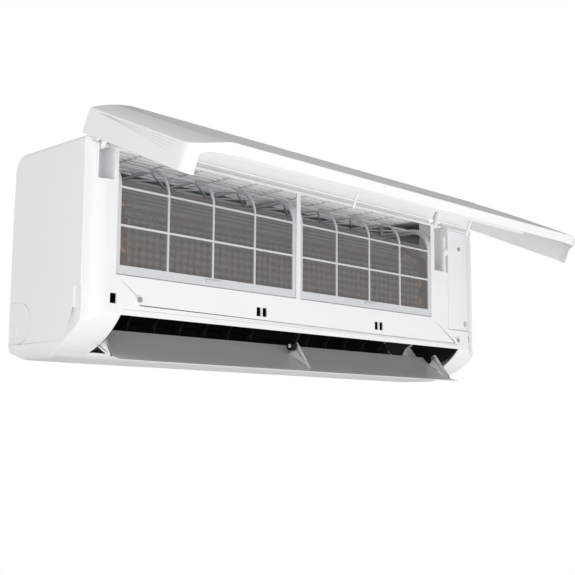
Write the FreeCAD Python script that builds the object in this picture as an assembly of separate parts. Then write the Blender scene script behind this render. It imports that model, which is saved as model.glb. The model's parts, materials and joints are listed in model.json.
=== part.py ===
"""Indoor unit of a wall-mounted split air conditioner, its front panel swung open.

X runs along the wall, Y points into the wall (the front is -Y) and Z is up. Heights below are counted
from the casing's base and depths from the wall. The finished part's origin is the centre of the wall
plate's back face. All sizes are in millimetres.
"""
import FreeCAD, Part
import math
import os

from FreeCAD import Vector

# ---------------------------------------------------------------- driving sizes
# casing
WIDTH = 856.0
HEIGHT = 275.9
FACE_DEPTH = 175.0  # wall to the front frame's flat face
FACE_STEP = 9.0  # the side faces stop this far behind it
WALL = 2.5
WALL_GAP = 2.0  # between the casing's back edge and the wall
BELLY = 4.0  # the underside hangs this far below the base line
FACE_CORNER = 28.0  # width of the sloping corner beside the flat face
SIDE_LEDGE = 8.0  # flat rim that the panel's side wall covers
LEAF_HEIGHT = 34.0  # below this the corner is full width
LOWER_RADIUS = 20.0
UPPER_RADIUS = 6.0
RAIL_DROP = 10.0  # top rail's face stops this far below the top
REAR_CORNER = (22.0, 31.0)  # depth and height of the curve at the top's back edge
SEAM = 0.6  # between a cover and the casing around it

# outlet and its lip
LIP_HEIGHT = 50.0
OUTLET_END = 56.0  # casing end to the outlet's end
OUTLET_BACK = 103.0  # depth of the outlet's rear lip
LIP_GROOVE = 57.7

# filter openings
SILL_HEIGHT = 101.0
TOP_MARGIN = 13.9  # filter openings to the top
LEFT_MARGIN = 46.5
SERVICE_BAY = 137.1
COLUMN = 8.0

# front panel, given shut
PANEL_FOOT = 36.7  # height of the free end
PANEL_SIDE = 33.5  # side wall, rim to crease
PANEL_RISE = 50.5  # rim to the middle of the face
PANEL_SHOULDER = 71.0  # width over which the face curves down to the crease
PANEL_CORNER = 40.0  # radius of the free end's corners
PANEL_WALL = 2.5
PANEL_GAP = 1.8  # shut panel's rim to the side faces
PANEL_TOP_DROP = 1.2
PANEL_MOUTH = 34.5  # height of the arch in the free end
PANEL_OPEN = 66.5  # degrees
HINGE_DEPTH = 158.5
HINGE_DROP = 6.9  # below the casing top
HINGE_PIN = 3.0
ARM_WIDTH = 8.0

# fits
RUNNING = 0.05  # radial clearance of a pin that turns
LOOSE = 0.8  # beside a piece that slides or is dropped in

# air filters
FILTER_THICK = 3.5
FILTER_BEND = 43.0
FILTER_BACK = 62.0  # depth at which the filter's top ends
FILTER_RIB = 3.0
FILTER_LEVELS = (114.0, 165.8)  # heights of the lower bars
MESH_THICK = 0.5
NET_ABOVE_BAR = 9.0

# heat exchanger
COIL_THICK = 22.0
REAR_COIL_THICK = 20.0
COIL_BACK_OF_FILTER = 7.5
TUBE = 3.5

# cross-flow fan
FAN_DEPTH = 92.0
FAN_HEIGHT = 128.0
FAN_RADIUS = 46.0
BLADES = 30
BLADE_DEPTH = 12.0
BLADE_THICK = 1.3
FAN_DISCS = 8
FAN_SHAFT = 4.0
MOTOR_RADIUS = 36.0
MOTOR_LENGTH = 48.0

# louver, given open
LOUVER_PIVOT = (-123.0, 35.0)
LOUVER_REACH = 65.6  # pivot to free edge
LOUVER_TAIL = 27.2  # pivot to rear edge
LOUVER_SAG = 7.0
LOUVER_THICK = 2.5
LOUVER_END_GAP = 2.0
LOUVER_PIN = 3.0

# swing vanes
THROAT_SLOPE = 50.3  # degrees that the air stream points below the level
VANE_ROOT = (-82.0, 45.0)
VANE_PITCH = 47.0
VANE_THICK = 1.8
VANE_HEIGHT = 60.0
VANE_PIN = 2.0
LINK_ARM = 22.0
LINK_PIN = 1.5
VANE_SWING = 25.0  # degrees each way
FLOOR_GAP = 5.0

# wall plate
PLATE_SIZE = (600.0, 180.0)
PLATE_CENTRE = 150.0
PLATE_THICK = 1.2
PLATE_HOLES = (450.0, 120.0)
PLATE_HOLE = 3.0
HOOK_WIDTH = 24.0
HOOK_SPREAD = 400.0
HOOK_HEIGHT = 228.0

# pipes
LIQUID_PIPE = 3.175
GAS_PIPE = 4.76
DRAIN_BORE = 4.5
DRAIN_OUTSIDE = 6.5
DRAIN_LENGTH = 30.0

# ---------------------------------------------------------------- worked-out places
HALF = WIDTH / 2
FACE = -FACE_DEPTH
SIDE_FRONT = FACE + FACE_STEP
OUTLET_HALF = HALF - OUTLET_END
OPENING_TOP = HEIGHT - TOP_MARGIN
FILTER_LEFT = -HALF + LEFT_MARGIN
FILTER_RIGHT = HALF - SERVICE_BAY
LEFT_VANES = (75.0 - OUTLET_HALF, 6)  # first vane, how many
RIGHT_VANES = (OUTLET_HALF - 307.0, 5)
COLUMN_MIDDLE = (FILTER_LEFT + FILTER_RIGHT) / 2
HINGE = (-HINGE_DEPTH, HEIGHT - HINGE_DROP)
HINGE_POCKETS = (  # x from, x to, floor
    (-HALF + 18.0, -HALF + 40.0, HEIGHT - 53.9),
    (FILTER_RIGHT + 10.1, FILTER_RIGHT + 50.1, HEIGHT - 90.9),
)
PANEL_RIM = SIDE_FRONT - PANEL_GAP
PANEL_TOP = HEIGHT - PANEL_TOP_DROP
FAN = (-FAN_DEPTH, FAN_HEIGHT)
BACK_WALL = -14.0  # back face of the chassis
LEFT_BULKHEAD = FILTER_LEFT + 6.0
RIGHT_BULKHEAD = FILTER_RIGHT - 2.0
COIL_LEFT = LEFT_BULKHEAD + 20.0
COIL_RIGHT = RIGHT_BULKHEAD - 20.0
FILTER_FACE = FACE + 2.0
FILTER_BARS = (*FILTER_LEVELS, OPENING_TOP - 3.0 - FILTER_BEND)
COIL_FACE = FILTER_FACE + FILTER_THICK + COIL_BACK_OF_FILTER - 2.0

AXES = {
    "side": lambda a, b, c: Vector(c, a, b),  # outline in Y and Z, thickness along X
    "front": lambda a, b, c: Vector(a, c, b),  # outline in X and Z, thickness along Y
    "plan": lambda a, b, c: Vector(a, b, c),  # outline in X and Y, thickness along Z
}


# ---------------------------------------------------------------- shape helpers
def outline(view, level, steps):
    """A closed wire: a pair of numbers ends a straight run, a pair of pairs is an arc's middle and end."""
    place = AXES[view]
    start = place(*steps[0], level)
    here = start
    edges = []
    for step in steps[1:]:
        if isinstance(step[0], tuple):
            end = place(*step[1], level)
            edges.append(Part.Arc(here, place(*step[0], level), end).toShape())
        else:
            end = place(*step, level)
            edges.append(Part.makeLine(here, end))
        here = end
    if here.distanceToPoint(start) > 1e-6:
        edges.append(Part.makeLine(here, start))
    return Part.Wire(edges)


def prism(view, low, high, *steps):
    """A solid with this outline in the view, from low to high along the view's own direction."""
    face = Part.Face(outline(view, low, steps))
    return face.extrude(AXES[view](0, 0, high - low))


def box(x, y, z):
    """A box between pairs of limits."""
    size = (x[1] - x[0], y[1] - y[0], z[1] - z[0])
    return Part.makeBox(*size, Vector(x[0], y[0], z[0]))


def rod(start, end, radius):
    """A round bar between two points."""
    along = end - start
    return Part.makeCylinder(radius, along.Length, start, along)


def along_x(centre, x, radius):
    """A round bar along X with its centre line at a (y, z) place."""
    return rod(Vector(x[0], *centre), Vector(x[1], *centre), radius)


def joined(shapes):
    """One solid from pieces that meet."""
    shapes = list(shapes)
    return shapes[0].multiFuse(shapes[1:]).removeSplitter()


def rounded(view, level, a, b, radii):
    """A rectangle with its own radius at each corner: low-low, high-low, high-high, low-high."""
    r0, r1, r2, r3 = radii
    k = 1 - math.sqrt(0.5)
    return prism(
        view,
        *level,
        (a[0], b[0] + r0),
        ((a[0] + k * r0, b[0] + k * r0), (a[0] + r0, b[0])),
        (a[1] - r1, b[0]),
        ((a[1] - k * r1, b[0] + k * r1), (a[1], b[0] + r1)),
        (a[1], b[1] - r2),
        ((a[1] - k * r2, b[1] - k * r2), (a[1] - r2, b[1])),
        (a[0] + r3, b[1]),
        ((a[0] + k * r3, b[1] - k * r3), (a[0], b[1] - r3)),
    )


def turned(centre, radius, degrees):
    """The (y, z) place at an angle from +Y around a centre."""
    angle = math.radians(degrees)
    return (centre[0] + radius * math.cos(angle), centre[1] + radius * math.sin(angle))


def between(start, end, share, offset=0.0):
    """A (y, z) place part of the way from start to end, moved to the left of that direction."""
    dy, dz = end[0] - start[0], end[1] - start[1]
    length = math.hypot(dy, dz)
    return (
        start[0] + share * dy - offset * dz / length,
        start[1] + share * dz + offset * dy / length,
    )


def wire_run(points, radius, bend):
    """A round wire or pipe through points, with an arc at each corner."""
    edges = []
    here = points[0]
    for corner, after in zip(points[1:-1], points[2:]):
        came = (corner - here).normalize()
        goes = (after - corner).normalize()
        half = came.getAngle(goes) / 2
        back = bend * math.tan(half)
        first = corner - came * back
        last = corner + goes * back
        inward = (goes - came).normalize()
        middle = corner + inward * (bend / math.cos(half) - bend)
        edges.append(Part.makeLine(here, first))
        edges.append(Part.Arc(first, middle, last).toShape())
        here = last
    edges.append(Part.makeLine(here, points[-1]))
    path = Part.Wire(edges)
    ring = Part.Wire(Part.makeCircle(radius, points[0], points[1] - points[0]))
    return path.makePipeShell([ring], True, True)


# ---------------------------------------------------------------- places inside the casing
SLOPE = math.radians(THROAT_SLOPE)


def throat_place(forward, up):
    """The (y, z) place this far down the air stream and off the throat's floor, from the vanes' root."""
    return (
        VANE_ROOT[0] - forward * math.cos(SLOPE) - up * math.sin(SLOPE),
        VANE_ROOT[1] - forward * math.sin(SLOPE) + up * math.cos(SLOPE),
    )


LATCH_MIDDLES = (-122.0, 145.5)
LATCH_HEIGHT = 74.4
SCREW_TABS = ((-HALF + 83.0, 71.0), (HALF - 63.0, 65.0))
GRILLE_THICK = 3.2
GRILLE_X = (FILTER_LEFT + 4.0, FILTER_RIGHT - 4.0)
GRILLE_Y = (SIDE_FRONT + 16.0, -40.0)
WINDOW = (-2.0, 92.0)  # middle and length of the display window
MARK = (-330.0, 34.0)  # middle and length of the receiver window
WINDOW_TALL = 7.0
COIL_PARTS = {
    "coil_front": ((COIL_FACE, 98.0), (COIL_FACE, 178.0), COIL_THICK, 2, 5),
    "coil_upper": ((COIL_FACE + 2.0, 199.0), (-82.0, 246.0), COIL_THICK, 2, 4),
    "coil_rear": ((-50.0, 222.0), (-33.5, 165.0), REAR_COIL_THICK, 2, 3),
}
TRAY_BOTTOM = 84.0
SPIGOT_CENTRE = (COIL_FACE + 9.0, TRAY_BOTTOM + 8.0)
FAN_LEFT = LEFT_BULKHEAD + 12.0
FAN_RIGHT = RIGHT_BULKHEAD - 14.0
SCROLL_TOP = (-41.0, 150.0)
SCROLL_SIDE = (-43.0, 100.0)
FLOOR_START = throat_place(-24.0, -FLOOR_GAP)
FLOOR_END = throat_place(31.0, -FLOOR_GAP)
TONGUE = (-136.5, 82.0)
TONGUE_TOP = 99.0
CEILING_END = (FACE + 9.5, LIP_HEIGHT + 10.0)
PIPE_WINDOW = (-HALF + 98.0, HALF - 128.0)
BUSH_RADIUS = 11.0
MOTOR_LEFT = RIGHT_BULKHEAD + WALL + 8.0
LOUVER_EDGE = turned(LOUVER_PIVOT, LOUVER_REACH, 219.0)
LOUVER_REAR = turned(LOUVER_PIVOT, LOUVER_TAIL, 7.4)
LOUVER_HALF = OUTLET_HALF - LOUVER_END_GAP
CENTRE_BEARING = -6.0
CABLE_WAY = (FAN[0] + 10.0, FAN[1] + 48.0)
BOX_X = (HALF - 80.0, HALF - 12.0)
BOX_Y = (SIDE_FRONT + 4.5, -34.0)
BOX_Z = (100.0, OPENING_TOP - 8.0)
BUTTON_PLACE = (HALF - 37.0, 96.0)
BUTTON_RADIUS = 4.0
BUTTON_TRAVEL = 2.0
BUTTON_FLANGE = 1.5
COVER_SCREW = (HALF - 55.0, 230.0)
PIPE_DEPTH = -30.0
PIPES = (
    (LIQUID_PIPE, 5, 6.0, 44.0, -150.0),
    (GAS_PIPE, 0, 17.0, 26.0, -150.0),
)


def write(name, *shapes):
    """Writes a node, one or more solids, with the origin at the wall plate's centre."""
    shape = shapes[0] if len(shapes) == 1 else Part.makeCompound(shapes)
    moved = shape.copy()
    moved.translate(Vector(0, 0, -PLATE_CENTRE))
    moved.exportStep(f"parts/{name}.step")


# ---------------------------------------------------------------- casing
def casing_block(inset):
    """The casing's outside, or with an inset its inside."""
    half = HALF - inset
    arc_start = (-OUTLET_BACK + 5.0, 2.0)
    section = Part.Face(
        outline(
            "side",
            -half,
            (
                (-WALL_GAP, 6.0),
                (-24.0, -BELLY),
                (-84.0, -BELLY),
                arc_start,
                ((-143.0, 21.0), (FACE, LIP_HEIGHT)),
                (FACE, HEIGHT - RAIL_DROP),
                (SIDE_FRONT - 1.0, HEIGHT - RAIL_DROP + 2.5),
                (SIDE_FRONT + 2.0, HEIGHT),
                (-WALL_GAP - REAR_CORNER[0], HEIGHT),
                ((-WALL_GAP - 8.0, HEIGHT - 9.0), (-WALL_GAP - 2.0, HEIGHT - REAR_CORNER[1])),
                (-WALL_GAP, HEIGHT - REAR_CORNER[1] - 50.0),
            ),
        )
    )
    if inset:
        section = section.makeOffset2D(-inset)
    side = section.extrude(Vector(2 * half, 0, 0))
    low, high = -BELLY + inset, HEIGHT - inset
    r_low, r_high = LOWER_RADIUS - inset, UPPER_RADIUS - inset
    front = rounded("front", (-400, 50), (-half, half), (low, high), (r_low, r_low, r_high, r_high))
    face, ledge = FACE + inset, SIDE_FRONT + inset
    flat = HALF - FACE_CORNER - inset / 4
    rim = HALF - SIDE_LEDGE - inset
    upper = prism(
        "plan", LEAF_HEIGHT - 2 * inset, 500,
        (-half, 50), (-half, ledge), (-rim, ledge), (-flat, face),
        (flat, face), (rim, ledge), (half, ledge), (half, 50),
    )
    r = 15.0 - inset
    lower = rounded("plan", (-100, LEAF_HEIGHT - 2 * inset), (-half, half), (face, 50), (r, r, 0.01, 0.01))
    return side.common(front).common(joined((upper, lower)))


def casing_shell():
    """The casing as a skin, open to the wall."""
    open_back = box((-HALF + WALL, HALF - WALL), (-12, 5), (8.5, HEIGHT - REAR_CORNER[1] - 2.0))
    return casing_block(0).cut(casing_block(WALL)).cut(open_back)


def cover_region(gap):
    """Where the electrical cover sits in the face, or with a gap the hole for it."""
    x = (HALF - 87.0 - gap, HALF + 5)
    return box(x, (FACE - 5, SIDE_FRONT - 0.05 + gap), (84.0 - gap, OPENING_TOP + gap))


def knockout_region(side, gap):
    """The D-shaped break-out for pipes low in a side face."""
    x = (side * HALF - 6, side * HALF + 6)
    low, high, depth = 17.0 - gap, 71.0 + gap, 53.0 + gap
    r = (high - low) / 2
    middle = (low + high) / 2
    return prism(
        "side", *x,
        (1.0, low), (-depth + r, low), ((-depth, middle), (-depth + r, high)), (1.0, high),
    )


def filter_path(depth):
    """A (y, z) curve parallel to the filter's outside, this deep under it: foot, bend start, middle, end, back."""
    centre = (FILTER_FACE + FILTER_BEND, FILTER_BARS[2])
    r = FILTER_BEND - depth
    return (
        (FILTER_FACE + depth, SILL_HEIGHT + LOOSE),
        (centre[0] - r, centre[1]),
        turned(centre, r, 135),
        (centre[0], centre[1] + r),
        (-FILTER_BACK, centre[1] + r),
    )


def filter_band(low, high, x, foot=0.0):
    """The solid between two depths under the filter's outside."""
    a, b, c, d, e = filter_path(low)
    p, q, r, s, t = filter_path(high)
    return prism(
        "side", *x,
        (a[0], a[1] + foot), b, (c, d), e, t, s, (r, q), (p[0], p[1] + foot),
    )


def filter_rail(x, beside_casing=True):
    """A curved rail beside a filter, with a post up to the casing's top, or to the grille's underside."""
    top = filter_path(-2.0)[4][1]
    foot = filter_band(-2.0, 7.0, x, foot=-LOOSE - 4.0)
    under = WALL / 2 if beside_casing else GRILLE_THICK + 0.5
    hanger = box(x, (-FILTER_BACK - 4, -FILTER_BACK), (top - 9.0, HEIGHT - under))
    return joined((foot, hanger))


def latch_windows():
    """Windows in the sill that the panel's hooks click into."""
    cuts = []
    middles = [(x, LATCH_HEIGHT, 2) for x in LATCH_MIDDLES]
    for x, z, halves in ((-HALF + 43, 70.0, 1), *middles, (HALF - 20, 70.0, 1)):
        for k in range(halves):
            left = x - 5.0 if halves == 1 else x - 10.5 + 12.0 * k
            width = 10.0 if halves == 1 else 9.0
            cuts.append(box((left, left + width), (FACE - 5, SIDE_FRONT + 4), (z - 6.5, z + 6.5)))
    return cuts


def screw_bosses(radius, y):
    """The two round tabs above the lip that take the frame's screws."""
    return [rod(Vector(x, y[0], z), Vector(x, y[1], z), radius) for x, z in SCREW_TABS]


def pocket_outsides():
    """The room that the two hinge pockets fill in the casing."""
    blocks = []
    for left, right, floor in HINGE_POCKETS:
        y = (FACE + WALL, HINGE[0] + 12.0 + WALL)
        blocks.append(box((left - WALL, right + WALL), y, (floor - WALL, HEIGHT - 1.2)))
    return blocks


def pocket_insides():
    """The hollows that the panel's arms swing in, open to the front and top."""
    hollows = []
    for left, right, floor in HINGE_POCKETS:
        hollows.append(box((left, right), (FACE - 5, HINGE[0] + 12.0), (floor, HEIGHT + 5)))
    return hollows


def hinge_pockets():
    """The two pockets behind the face, whose side walls carry the hinge pins."""
    casing = casing_block(0)
    pockets = []
    for outside, inside, place in zip(pocket_outsides(), pocket_insides(), HINGE_POCKETS):
        left, right, _ = place
        rail = HEIGHT - RAIL_DROP + 2.0
        swing = box((left - 5, right + 5), (FACE - 50, SIDE_FRONT + 1.0), (rail, HEIGHT + 5))
        pin_hole = along_x(HINGE, (left - 6, right + 6), HINGE_PIN + RUNNING)
        pockets.append(outside.common(casing).cut(Part.makeCompound([inside, swing, pin_hole])))
    return pockets


def front_frame():
    """The casing moulding, with its openings, rails, pockets and bosses."""
    shell = casing_shell()
    shell = shell.cut(
        prism(
            "side", -OUTLET_HALF, OUTLET_HALF,
            (-OUTLET_BACK, -30), (-OUTLET_BACK, 30), (-160, LIP_HEIGHT), (-220, LIP_HEIGHT), (-220, -30),
        )
    )
    column = COLUMN / 2
    openings = [
        box((FILTER_LEFT, COLUMN_MIDDLE - column), (FACE - 5, SIDE_FRONT + 4), (SILL_HEIGHT, OPENING_TOP)),
        box((COLUMN_MIDDLE + column, FILTER_RIGHT), (FACE - 5, SIDE_FRONT + 4), (SILL_HEIGHT, OPENING_TOP)),
        box(GRILLE_X, GRILLE_Y, (HEIGHT - 8, HEIGHT + 5)),
        cover_region(SEAM),
        knockout_region(-1, SEAM),
        knockout_region(1, SEAM),
    ]
    rails = [
        filter_rail((FILTER_LEFT - 8.0, FILTER_LEFT)),
        filter_rail((COLUMN_MIDDLE - column, COLUMN_MIDDLE + column), beside_casing=False),
        filter_rail((FILTER_RIGHT, FILTER_RIGHT + 8.0)),
    ]
    lip = prism(
        "side", -OUTLET_HALF, OUTLET_HALF,
        (FACE, LIP_HEIGHT), (FACE, LIP_GROOVE + 1),
        (FACE + WALL + 2, LIP_GROOVE + 1), (FACE + WALL + 6, LIP_HEIGHT + 3),
    )
    bosses = screw_bosses(6.5, (FACE - 1.5, FACE + 8))
    body = shell.cut(Part.makeCompound(openings))
    body = body.multiFuse([*rails, lip, *bosses])
    body = body.cut(Part.makeCompound([*pocket_outsides(), *pocket_insides()]))
    cuts = [
        *latch_windows(),
        *screw_bosses(1.6, (FACE - 5, FACE + 20)),
        box((-OUTLET_HALF + 4, OUTLET_HALF - 4), (FACE - 1, FACE + 1.2), (LIP_GROOVE, LIP_GROOVE + 1.6)),
    ]
    for side in (-1, 1):
        x = sorted((side * (HALF - 1.6), side * (HALF + 1)))
        cuts.append(rounded("side", x, (SIDE_FRONT - 1, SIDE_FRONT + 15), (54, 84), (0.01, 4, 4, 0.01)))
        x = sorted((side * (HALF - 1.4), side * (HALF + 1)))
        cuts.append(box(x, (SIDE_FRONT - 1, SIDE_FRONT + 1.6), (252, 264)))
    return body.cut(Part.makeCompound(cuts)).removeSplitter()


def top_grille():
    """Air inlet lattice that drops into the casing's top."""
    gap = 0.4
    x = (GRILLE_X[0] + gap, GRILLE_X[1] - gap)
    y = (GRILLE_Y[0] + gap, GRILLE_Y[1] - gap)
    plate = box(x, y, (HEIGHT - 0.3 - GRILLE_THICK, HEIGHT - 0.3))
    across = 12
    rows = 8
    border = 4.0
    rib_x, rib_y = 2.5, 3.0
    step_x = (x[1] - x[0] - 2 * border + rib_x) / across
    step_y = (y[1] - y[0] - 2 * border + rib_y) / rows
    holes = []
    for i in range(across):
        for j in range(rows):
            left = x[0] + border + i * step_x
            front = y[0] + border + j * step_y
            hole = box((left, left + step_x - rib_x), (front, front + step_y - rib_y), (HEIGHT - 8, HEIGHT + 5))
            holes.append(hole)
    return plate.cut(Part.makeCompound(holes))


def electrical_cover():
    """The service cover right of the filters, with a slot and two screw recesses."""
    cover = casing_shell().common(cover_region(0))
    cuts = [box((HALF - 62, HALF - 48), (FACE - 5, FACE + 1.0), (239, 242))]
    for place, r in ((BUTTON_PLACE, BUTTON_RADIUS + 0.4), (COVER_SCREW, 1.8)):
        cuts.append(along_y(place, (FACE - 5, SIDE_FRONT + 4), r))
    return cover.cut(Part.makeCompound(cuts))


def knockout(side):
    """A break-out piece, with the ring of the smaller drain hole marked on it."""
    piece = casing_shell().common(knockout_region(side, 0))
    x = sorted((side * (HALF - 0.8), side * (HALF + 1)))
    outer = along_x((-14.0, 31.0), x, 8.9)
    inner = along_x((-14.0, 31.0), x, 8.1)
    return piece.cut(outer.cut(inner))


# ---------------------------------------------------------------- front panel
def panel_block(inset):
    """The shut panel's outside, or with an inset its inside, open behind."""
    rim = PANEL_RIM + (5.0 if inset else 0.0)
    top, foot = PANEL_TOP - inset, PANEL_FOOT + inset
    side = PANEL_RIM - PANEL_SIDE + inset / 2
    face = PANEL_RIM - PANEL_RISE + inset
    half = HALF - inset
    section = prism(
        "side", -HALF, HALF,
        (rim, top), (PANEL_RIM - 24.0 + inset, top - 1.6),
        ((PANEL_RIM - 41.0 + inset, top - 9.0), (face + 1.4, top - 35.0)),
        ((face, top - 110.0), (face + 1.7, foot)),
        (rim, foot),
    )
    crown = prism(
        "plan", PANEL_FOOT - 10, PANEL_TOP + 10,
        (-half, rim), (-half, side),
        ((-half + 0.42 * PANEL_SHOULDER, face + 4.5), (-half + PANEL_SHOULDER, face)),
        (half - PANEL_SHOULDER, face),
        ((half - 0.42 * PANEL_SHOULDER, face + 4.5), (half, side)),
        (half, rim),
    )
    corner = PANEL_CORNER - inset
    cut_in = corner * (1 - math.sqrt(0.5)) - 0.4  # a touch fuller than a plain quarter circle
    front = prism(
        "front", face - 20, rim,
        (-half, top + 5), (-half, foot + corner),
        ((cut_in - half, foot + cut_in), (corner - half, foot)),
        (half - corner, foot),
        ((half - cut_in, foot + cut_in), (half, foot + corner)),
        (half, top + 5),
    )
    return section.common(crown).common(front)


def panel_mouth():
    """The arch cut out of the panel's free end, with S-shaped shoulders."""
    edge = HALF - 6.0
    mouth = PANEL_RIM - PANEL_MOUTH
    return prism(
        "plan", PANEL_FOOT - 5, PANEL_FOOT + PANEL_WALL + 12.0,
        (-edge, PANEL_RIM + 10), (-edge, PANEL_RIM - 13.0),
        ((4.5 - edge, PANEL_RIM - 25.5), (18.0 - edge, mouth + 2.0)),
        (54.0 - edge, mouth),
        (edge - 54.0, mouth),
        (edge - 18.0, mouth + 2.0),
        ((edge - 4.5, PANEL_RIM - 25.5), (edge, PANEL_RIM - 13.0)),
        (edge, PANEL_RIM + 10),
    )


def opened(shape):
    """A panel piece swung from shut to open about the hinge."""
    moved = shape.copy()
    moved.rotate(Vector(0, *HINGE), Vector(1, 0, 0), -PANEL_OPEN)
    return moved


def window_block(place, deep):
    """A slim window in the panel's face near its free end."""
    x = (place[0] - place[1] / 2, place[0] + place[1] / 2)
    z = (PANEL_FOOT + 22.0, PANEL_FOOT + 22.0 + WINDOW_TALL)
    return rounded("front", (PANEL_RIM - PANEL_RISE - 5, PANEL_RIM - PANEL_RISE + deep), x, z, (3, 3, 3, 3))


def panel_windows():
    """Display window and receiver window, set flush in the panel's face."""
    skin = panel_block(0)
    return [skin.common(window_block(place, 2.0)) for place in (WINDOW, MARK)]


def front_panel():
    """The panel's shell."""
    shell = panel_block(0).cut(panel_block(PANEL_WALL)).cut(panel_mouth())
    seats = [window_block((place[0], place[1] + 0.4), 2.0) for place in (WINDOW, MARK)]
    return shell.cut(Part.makeCompound(seats))


def panel_stiffener():
    """The long rib inside the free end, with two latch hooks."""
    x = (-HALF + 30.0, HALF - 128.0)
    face = PANEL_RIM - PANEL_RISE + PANEL_WALL
    z = (LATCH_HEIGHT - 1.2, LATCH_HEIGHT + 0.8)
    rib = box(x, (face - 5.0, PANEL_RIM - 28.0), z)
    hooks = []
    for window in LATCH_MIDDLES:
        middle = window + 6.0
        stem = box((middle - 2, middle + 2), (PANEL_RIM - 30.0, FACE + 3.0), z)
        hooks.append(stem)
    rib = rib.common(panel_block(PANEL_WALL))
    return joined((rib, *hooks))


def panel_arms():
    """Two hinge arms, each with its pins, reaching from the panel's inside to the hinge line."""
    inside = panel_block(PANEL_WALL)
    arms = []
    for left, right, _ in HINGE_POCKETS:
        middle = (left + right) / 2
        x = (middle - ARM_WIDTH / 2, middle + ARM_WIDTH / 2)
        boss = along_x(HINGE, x, 5.5)
        bar = box(x, (PANEL_RIM - PANEL_RISE, HINGE[0]), (HINGE[1] - 5.5, HINGE[1] + 0.5))
        beyond = box((-HALF, HALF), (PANEL_RIM - 1.0, 0), (0, HEIGHT + 20))
        reach = inside.fuse(beyond)
        pins = along_x(HINGE, (left - WALL + 0.2, right + WALL - 0.2), HINGE_PIN)
        arms.append(joined((boss, bar.common(reach), pins)))
    return arms


def stay_guide():
    """Fixed bar in the right pocket, with the round stop that holds the panel's arm open."""
    left, right, floor = HINGE_POCKETS[1]
    bar = box((right - 14.0, right - 8.0), (FACE - 1.0, FACE + 5.0), (floor, HINGE[1] - 22.0))
    bridge = box((right - 14.0, right - 8.0), (FACE, HINGE[0] + 12.0), (floor, floor + 5.0))
    stop = Vector(right - 11.0, FACE - 4.0, floor + 34.0)
    knob = rod(stop, stop + Vector(0, 5.0, 0), 6.0)
    return joined((bar, bridge, knob))


# ---------------------------------------------------------------- air filters
def filter_columns(x, count=4):
    """Limits in X of the windows between a filter's upright ribs."""
    left = x[0] + 2 * FILTER_RIB
    step = (x[1] - x[0] - 4 * FILTER_RIB + FILTER_RIB) / count
    return [(left + i * step, left + (i + 1) * step - FILTER_RIB) for i in range(count)]


def filter_frame(x):
    """A filter's frame, bent back over the top, with ribs and braces."""
    band = filter_band(0.0, FILTER_THICK, x)
    half_rib = FILTER_RIB / 2
    bend = FILTER_FACE + FILTER_BEND
    windows = []
    for column in filter_columns(x):
        y = (FACE - 5, FILTER_FACE + 10)
        windows.append(box(column, y, (FILTER_BARS[0], FILTER_BARS[1] - half_rib)))
        windows.append(box(column, y, (FILTER_BARS[1] + half_rib, FILTER_BARS[2] - half_rib)))
        high = FILTER_BARS[2] + FILTER_BEND
        windows.append(
            box(column, (FACE - 5, bend - half_rib), (FILTER_BARS[2] + half_rib, high + 5))
        )
        windows.append(box(column, (bend + half_rib, -FILTER_BACK - 2 * FILTER_RIB), (high - 10, high + 5)))
    frame = band.cut(Part.makeCompound(windows))
    braces = []
    for column in filter_columns(x):
        for a, b in ((column[0], column[1]), (column[1], column[0])):
            start = Vector(a, bend, 0)
            end = Vector(b, -FILTER_BACK - FILTER_RIB, 0)
            across = (end - start).cross(Vector(0, 0, 1)).normalize() * (FILTER_RIB / 2)
            corners = [start + across, end + across, end - across, start - across]
            wire = Part.makePolygon([*corners, corners[0]])
            bar = Part.Face(wire).extrude(Vector(0, 0, FILTER_THICK - 1.0))
            bar.translate(Vector(0, 0, FILTER_BARS[2] + FILTER_BEND - FILTER_THICK))
            braces.append(bar)
    grip_middle = (x[0] + x[1]) / 2
    grip = box((grip_middle - 14, grip_middle + 14), (FILTER_FACE - 3, FILTER_FACE + 0.5), (106, 110))
    return joined((frame, grip, *braces))


def filter_mesh(x, frame):
    """The net in a filter's windows, up to a little above the top bar; the bend is an open lattice."""
    low = (FILTER_THICK - MESH_THICK) / 2
    inner = (x[0] + FILTER_RIB, x[1] - FILTER_RIB)
    net = filter_band(low, low + MESH_THICK, inner).cut(frame)
    return net.common(box(inner, (FACE - 5, 0), (0, FILTER_BARS[2] + NET_ABOVE_BAR)))


# ---------------------------------------------------------------- heat exchanger


def coil_slab_corners(start, end, thick):
    """The slab's four (y, z) corners; it lies to the right of the line from start to end."""
    return (start, end, between(start, end, 1, -thick), between(start, end, 0, -thick))


def coil_tube_places(start, end, thick, rows, count):
    """The (y, z) centres of a slab's tubes, row by row."""
    places = []
    for row in range(rows):
        for k in range(count):
            share = (k + 0.32 + 0.36 * row) / count
            places.append(between(start, end, share, -thick * (row + 0.5) / rows))
    return places


def coil_fins(name):
    """One slab of the fin pack, drilled for its tubes."""
    start, end, thick, rows, count = COIL_PARTS[name]
    slab = prism("side", COIL_LEFT, COIL_RIGHT, *coil_slab_corners(start, end, thick))
    holes = [
        along_x(place, (COIL_LEFT - 1, COIL_RIGHT + 1), TUBE)
        for place in coil_tube_places(start, end, thick, rows, count)
    ]
    return slab.cut(Part.makeCompound(holes))


def coil_tubes():
    """Straight tubes through the fins and the return bends that join them in pairs."""
    solids = []
    for start, end, thick, rows, count in COIL_PARTS.values():
        places = coil_tube_places(start, end, thick, rows, count)
        for place in places:
            solids.append(along_x(place, (COIL_LEFT - 1.5, COIL_RIGHT + 1.5), TUBE))
        for row in range(rows):
            line = places[row * count:(row + 1) * count]
            for k in range(count - 1):
                at_left = (k + row) % 2 == 0
                solids.append(return_bend(line[k], line[k + 1], at_left))
    return solids


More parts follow.
